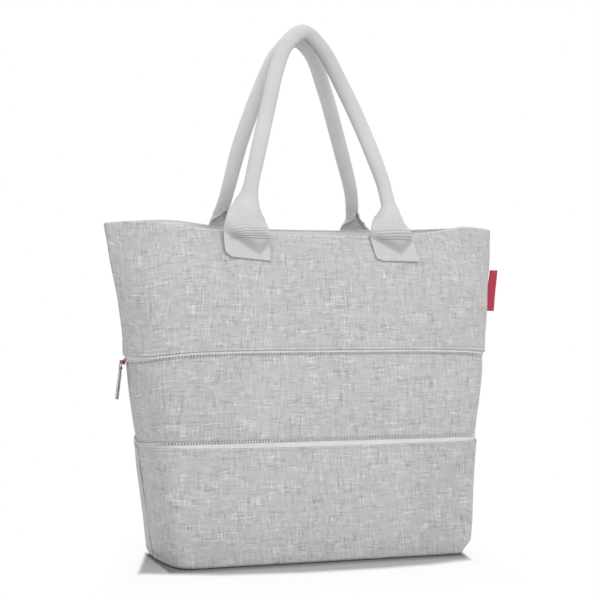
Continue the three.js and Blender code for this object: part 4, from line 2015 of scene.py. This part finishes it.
@dataclass
class ZipPull:
    """The slider on the upper half of the zip, with a wire link in its ear and a soft tab on the link."""

    lacquer: bpy.types.Material
    face: bpy.types.Material
    edge: bpy.types.Material
    hinge: Vector = field(default_factory=lambda: Vector((-0.2373, 0.0, 0.242)))
    lean: float = 7.0
    plate: tuple[float, float, float] = (1.8 * MM, 11.0 * MM, 8.0 * MM)
    plate_round: float = 0.6 * MM
    waist: float = 0.62
    tail: float = 0.86
    reach: float = 2.2 * MM
    eye: tuple[float, float, float] = (2.2 * MM, 0.95 * MM, 2.4 * MM)
    neck_round: float = 0.25 * MM
    ring_sides: int = 28
    ring_round: float = 0.22 * MM
    link_wide: float = 13.0 * MM
    link_high: float = 9.0 * MM
    link_bend: float = 1.5 * MM
    bend_steps: int = 5
    wire: float = 0.65 * MM
    wire_sides: int = 12
    tab_wide: float = 10.0 * MM
    tab_long: float = 38.0 * MM
    tab_thick: float = 2.6 * MM
    tab_corner: float = 0.9 * MM
    tab_round: float = 0.35 * MM
    tab_columns: int = 10
    tab_rows: int = 30
    loop: tuple[float, float, float] = (2.05 * MM, 1.15 * MM, 7.0 * MM)
    seated: float = 0.3 * MM

    def ring(self, mesh: bmesh.types.BMesh, size: tuple[float, float, float], centre: Vector) -> None:
        """Adds a flat ring about the Y axis.

        Args:
            mesh: The bmesh that takes it.
            size: Outer radius, bore and thickness.
            centre: Its middle.
        """
        outer, bore, thick = size
        near_face = Matrix.Translation(centre + Vector((0.0, thick / 2.0, 0.0)))
        upright = near_face @ Matrix.Rotation(pi / 2.0, 4, "X")
        loops = []
        for radius in (outer, bore):
            made = bmesh.ops.create_circle(
                mesh, cap_ends=False, segments=self.ring_sides, radius=radius, matrix=upright
            )
            loops += edges_at(made["verts"])
        faces = bmesh.ops.bridge_loops(mesh, edges=loops)["faces"]
        grown = bmesh.ops.extrude_face_region(mesh, geom=faces)["geom"]
        moved = [item for item in grown if isinstance(item, bmesh.types.BMVert)]
        bmesh.ops.translate(mesh, verts=moved, vec=Vector((0.0, -thick, 0.0)))
        walls = list({face: None for vert in moved for face in vert.link_faces} | dict.fromkeys(faces))
        bmesh.ops.recalc_face_normals(mesh, faces=walls)
        edges = {edge: None for face in walls for edge in face.edges}
        round_edges(mesh, sharp_edges(edges), self.ring_round, 2)

    def slider(self) -> bpy.types.Object:
        """Makes the slider's plate, waisted towards one end, with its ear.

        Returns:
            The slider.
        """
        mesh = bmesh.new()
        thick, long, high = self.plate
        place = Matrix.Translation(self.hinge + Vector((self.reach + thick / 2.0, 0.0, 0.0)))
        made = bmesh.ops.create_cube(mesh, size=1.0, matrix=place @ Matrix.Diagonal((thick, long, high, 1.0)))
        edges = edges_at(made["verts"])
        lengthwise = [edge for edge in edges if abs(edge.verts[0].co.y - edge.verts[1].co.y) > long / 2.0]
        bmesh.ops.subdivide_edges(mesh, edges=lengthwise, cuts=3, use_grid_fill=True)
        for vert in mesh.verts:
            end = (vert.co.y - self.hinge.y) / (long / 2.0)
            waist = lerp(1.0, self.waist, smooth(-0.2, 1.0, end))
            tail = lerp(1.0, self.tail, smooth(0.6, 1.0, -end))
            vert.co.z = self.hinge.z + (vert.co.z - self.hinge.z) * waist * tail
        round_edges(mesh, sharp_edges(mesh.edges), self.plate_round, 3)
        self.ring(mesh, self.eye, self.hinge)
        outer, bore, ear = self.eye
        place = Matrix.Translation(self.hinge + Vector((self.reach / 2.0 + bore / 2.0, 0.0, 0.0)))
        size = Matrix.Diagonal((self.reach - bore + self.seated, ear * 0.9, outer * 1.5, 1.0))
        neck = bmesh.ops.create_cube(mesh, size=1.0, matrix=place @ size)
        round_edges(mesh, edges_at(neck["verts"]), self.neck_round, 2)
        return make_piece(mesh, Label("zip_slider", Slot.METAL, replaces="zip_slider"), (self.lacquer,))

    def hang(self, mesh: bmesh.types.BMesh) -> None:
        """Leans a piece of the pull outwards about the hinge."""
        lean = Matrix.Rotation(radians(self.lean), 4, "Y")
        bmesh.ops.rotate(mesh, cent=self.hinge, matrix=lean, verts=mesh.verts[:])

    def link(self) -> bpy.types.Object:
        """Makes the wire link, a round wire round a rectangle with bent corners.

        Returns:
            The link.
        """
        half, bend = self.link_wide / 2.0 - self.wire, self.link_bend
        tall = self.link_high - 2.0 * self.wire
        corners = ((half, 0.0, 0.0), (-half, 0.0, pi / 2.0), (-half, -tall, pi), (half, -tall, 1.5 * pi))
        path = []
        for y, z, start in corners:
            centre_y = y - bend * (1.0 if y > 0.0 else -1.0)
            centre_z = z - bend if z == 0.0 else z + bend
            for step in range(self.bend_steps + 1):
                angle = start + pi / 2.0 * step / self.bend_steps
                path.append((centre_y + bend * cos(angle), centre_z + bend * sin(angle), angle))
        mesh = bmesh.new()
        rings = []
        for y, z, angle in path:
            place = Matrix.Translation(self.hinge + Vector((0.0, y, z))) @ Matrix.Rotation(angle, 4, "X")
            made = bmesh.ops.create_circle(
                mesh, cap_ends=False, segments=self.wire_sides, radius=self.wire, matrix=place
            )
            rings.append(edges_at(made["verts"]))
        for index, edges in enumerate(rings):
            bmesh.ops.bridge_loops(mesh, edges=edges + rings[(index + 1) % len(rings)])
        bmesh.ops.recalc_face_normals(mesh, faces=mesh.faces[:])
        self.hang(mesh)
        return make_piece(mesh, Label("pull_link", Slot.METAL, Body.PULL, "pull_link"), (self.lacquer,))

    def tab(self) -> bpy.types.Object:
        """Makes the tab: a loop on the link's lower bar and a flat tongue with rounded corners.

        Returns:
            The tab.
        """
        mesh = bmesh.new()
        centre = self.hinge + Vector((0.0, 0.0, 2.0 * self.wire - self.link_high))
        half = self.tab_wide / 2.0
        neck = self.loop[2] / 2.0
        top, corner = self.loop[1] + self.seated, self.tab_corner
        length = self.tab_long - top
        made = bmesh.ops.create_grid(mesh, x_segments=self.tab_columns, y_segments=self.tab_rows, size=1.0)
        for vert in made["verts"]:
            down = (1.0 - vert.co.y) / 2.0 * length
            wide = lerp(neck, half, smooth(2.0 * MM, 8.0 * MM, down))
            left = max(0.0, corner - (length - down))
            wide -= corner - sqrt(max(0.0, corner**2 - left**2))
            vert.co = centre + Vector((-self.tab_thick / 2.0, -vert.co.x * wide, -top - down))
        bmesh.ops.recalc_face_normals(mesh, faces=mesh.faces[:])
        if sum(face.normal.x for face in mesh.faces) > 0.0:
            bmesh.ops.reverse_faces(mesh, faces=mesh.faces[:])
        bmesh.ops.solidify(mesh, geom=mesh.faces[:], thickness=self.tab_thick)
        bmesh.ops.recalc_face_normals(mesh, faces=mesh.faces[:])
        round_edges(mesh, sharp_edges(mesh.edges), self.tab_round, 2)
        for cut in mesh.faces:
            if abs(cut.normal.x) < 0.75:
                cut.material_index = 1
        self.ring(mesh, self.loop, centre)
        for cut in mesh.faces:
            if cut.calc_center_median().z > centre.z - top and abs(cut.normal.y) > 0.5:
                cut.material_index = 1
        self.hang(mesh)
        return make_piece(mesh, Label("pull_tab", Slot.PULL, Body.PULL, "pull_tab"), (self.face, self.edge))


@dataclass
class SeamTab:
    """A plain ribbon folded over and sewn into the right side seam."""

    form: BagForm
    ribbon: bpy.types.Material
    bottom: float = 0.304
    high: float = 0.054
    out_bottom: float = 0.2635
    out_top: float = 0.269
    layer: float = 0.34 * MM
    ribbon_thick: float = 0.45 * MM
    clear: float = 0.4 * MM
    wave: float = 0.35 * MM
    wave_turns: float = 120.0
    fold_sharp: float = 6.0
    flat_wide: float = 30.0 * MM
    columns: int = 28
    rows: int = 40

    def build(self) -> bpy.types.Object:
        """Makes the folded ribbon with a slight wave.

        Returns:
            The ribbon.
        """

        def place(column: int, row: int) -> Vector:
            """Runs out along one layer, round the fold and back along the other.

            Args:
                column: The column.
                row: The row.

            Returns:
                The point.
            """
            height = self.bottom + self.high * row / self.rows
            around = 2.0 * column / self.columns - 1.0
            section = self.form.section(height)
            sewn = section.shift + section.half_width + self.clear
            outer = lerp(self.out_bottom, self.out_top, row / self.rows)
            x = lerp(outer, sewn, abs(around) ** 1.3)
            spread = self.layer * min(1.0, sqrt(abs(around) * self.fold_sharp))
            spread *= 1.0 if around > 0.0 else -1.0
            wave = self.wave * sin(height * self.wave_turns) * (1.0 - abs(around))
            return Vector((x, spread + wave, height))

        def flat(column: int, row: int) -> tuple[float, float]:
            """Flat coordinates across and along the ribbon."""
            return self.flat_wide * column / self.columns, self.high * row / self.rows

        mesh = curved_grid(self.columns, self.rows, place, flat, "ribbon")
        piece = make_piece(mesh, Label("seam_tab", Slot.RIBBON, replaces="seam_tab"), (self.ribbon,))
        thicken(piece, self.ribbon_thick)
        return piece


@dataclass(frozen=True)
class Lamp:
    """A soft rectangular light: its name, place, width and height, and power in watts."""

    name: str
    at: tuple[float, float, float]
    size: tuple[float, float]
    power: float


@dataclass
class Studio:
    """The camera, the floor and the soft light, with a surround that shows white behind the bag."""

    camera_at: Vector = field(default_factory=lambda: Vector((-0.5870, -1.7594, 0.3060)))
    turn: float = -18.45
    pitch: float = 0.37
    lens: float = 87.47
    axis_pixels: float = 5.65
    floor_size: float = 6.0
    sky: float = 0.8
    aim: Vector = field(default_factory=lambda: Vector((0.0, 0.0, 0.28)))
    lamps: tuple[Lamp, ...] = (
        Lamp("key", (0.05, -2.0, 1.5), (1.0, 1.0), 17.5),
        Lamp("overhead", (0.0, 0.3, 2.1), (1.6, 0.4), 9.0),
    )

    def camera(self) -> None:
        """Sets the camera where the photograph was taken from."""
        data = bpy.data.cameras.new("view")
        data.lens = self.lens
        data.sensor_width = SENSOR_WIDTH
        data.shift_x = -self.axis_pixels / FRAME_PIXELS
        data.dof.use_dof = False
        view = bpy.data.objects.new("view", data)
        view.location = self.camera_at
        view.rotation_euler = (radians(90.0 + self.pitch), 0.0, radians(self.turn))
        bpy.context.scene.collection.objects.link(view)
        bpy.context.scene.camera = view

    def floor(self, finish: bpy.types.Material) -> None:
        """Lays the floor.

        Args:
            finish: The floor's material.
        """
        mesh = bmesh.new()
        bmesh.ops.create_grid(mesh, x_segments=2, y_segments=2, size=self.floor_size)
        data = bpy.data.meshes.new("floor")
        mesh.to_mesh(data)
        mesh.free()
        data.materials.append(finish)
        floor_piece = bpy.data.objects.new("floor", data)
        bpy.context.scene.collection.objects.link(floor_piece)

    def hang(self, lamp: Lamp) -> None:
        """Hangs a lamp so that it faces the bag.

        Args:
            lamp: The lamp.
        """
        data = bpy.data.lights.new(lamp.name, "AREA")
        data.shape = "RECTANGLE"
        data.size, data.size_y = lamp.size
        data.energy = lamp.power
        light = bpy.data.objects.new(lamp.name, data)
        light.location = lamp.at
        light.rotation_euler = (self.aim - Vector(lamp.at)).to_track_quat("-Z", "Y").to_euler()
        bpy.context.scene.collection.objects.link(light)

    def light(self) -> None:
        """Sets a white surround, a soft light from the front and a long one overhead."""
        graph = ShaderGraph(bpy.data.worlds.new("white_surround"))
        seen = graph.node("ShaderNodeLightPath", None, None, "Is Camera Ray")
        strength = self.sky + (1.0 - self.sky) * seen
        white = (1.0, 1.0, 1.0, 1.0)
        shine = graph.node("ShaderNodeBackground", None, {"Color": white, "Strength": strength})
        graph.node_output(shine, "ShaderNodeOutputWorld")
        bpy.context.scene.world = graph.owner
        bpy.context.scene.view_settings.view_transform = "Standard"
        for lamp in self.lamps:
            self.hang(lamp)


def main() -> None:
    """Builds the bag piece by piece and sets up the studio."""
    logging.basicConfig(level=logging.INFO, format="%(message)s")
    studio = Studio()
    studio.camera()
    studio.floor(FloorWithPaintedShadow().material())
    studio.light()

    form = BagForm()
    cloth, backing = MelangeCloth().material(), CoatedBack().material()
    tape = WovenTape().material()
    tooth = MouldedPlastic("tooth_plastic", grey(0.54), grey(0.68)).material()
    webbing = RibbedWebbing().material()
    # A lighter copy of the webbing for the back handle: painted light where its legs lie in shade.
    painted_lighter = {"dark": grey(0.52, 0.012), "light": grey(0.79, 0.012)}
    webbing_painted_lighter = RibbedWebbing("ribbed_webbing_painted_lighter", **painted_lighter).material()
    cloth_thread = SewingThread("cloth_thread", grey(0.45), grey(0.66)).material()
    webbing_thread = SewingThread("webbing_thread", grey(0.56), grey(0.76)).material()

    tiers = [kind(form, cloth, backing) for kind in (UpperTier, MiddleTier, LowerTier)]
    for tier in tiers:
        for side in Side:
            tier.build(side)
    BasePanel(form, cloth, backing).build()

    halves = ((form.zip_upper, "zip_upper", 1.0, 2.4 * MM), (form.zip_lower, "zip_lower", -1.0, 3.4 * MM))
    for line, name, upwards, high in halves:
        half = ZipHalf(form, line, name, upwards, tape, tooth, (1.75 * MM, high, 2.4 * MM))
        half.tape()
        half.teeth()

    webbing_stitches = Stitching(webbing_thread)
    for handle in make_handles(webbing, webbing_painted_lighter):
        handle.build()
        webbing_stitches.along_handle(handle, (3.2 * MM, 9.5 * MM), f"{handle.name}_stitches")

    upper, _, lower = tiers
    stitching = Stitching(cloth_thread)
    stitching.along_tier(upper, lambda share: upper.hem(share) + upper.hem_line, "upper_hem_stitches")
    stitching.along_tier(lower, lambda share: lower.hem(share) - lower.hem_line, "lower_hem_stitches")

    pull_face = MouldedPlastic("pull_face", grey(0.50), grey(0.62), 1200.0, 0.55).material()
    pull_edge = MouldedPlastic("pull_edge", grey(0.18), grey(0.27), 1200.0, 0.6).material()
    pull = ZipPull(RedLacquer().material(), pull_face, pull_edge)
    pull.slider()
    pull.link()
    pull.tab()
    SeamTab(form, WovenRibbon().material()).build()


if __name__ == "__main__":
    main()
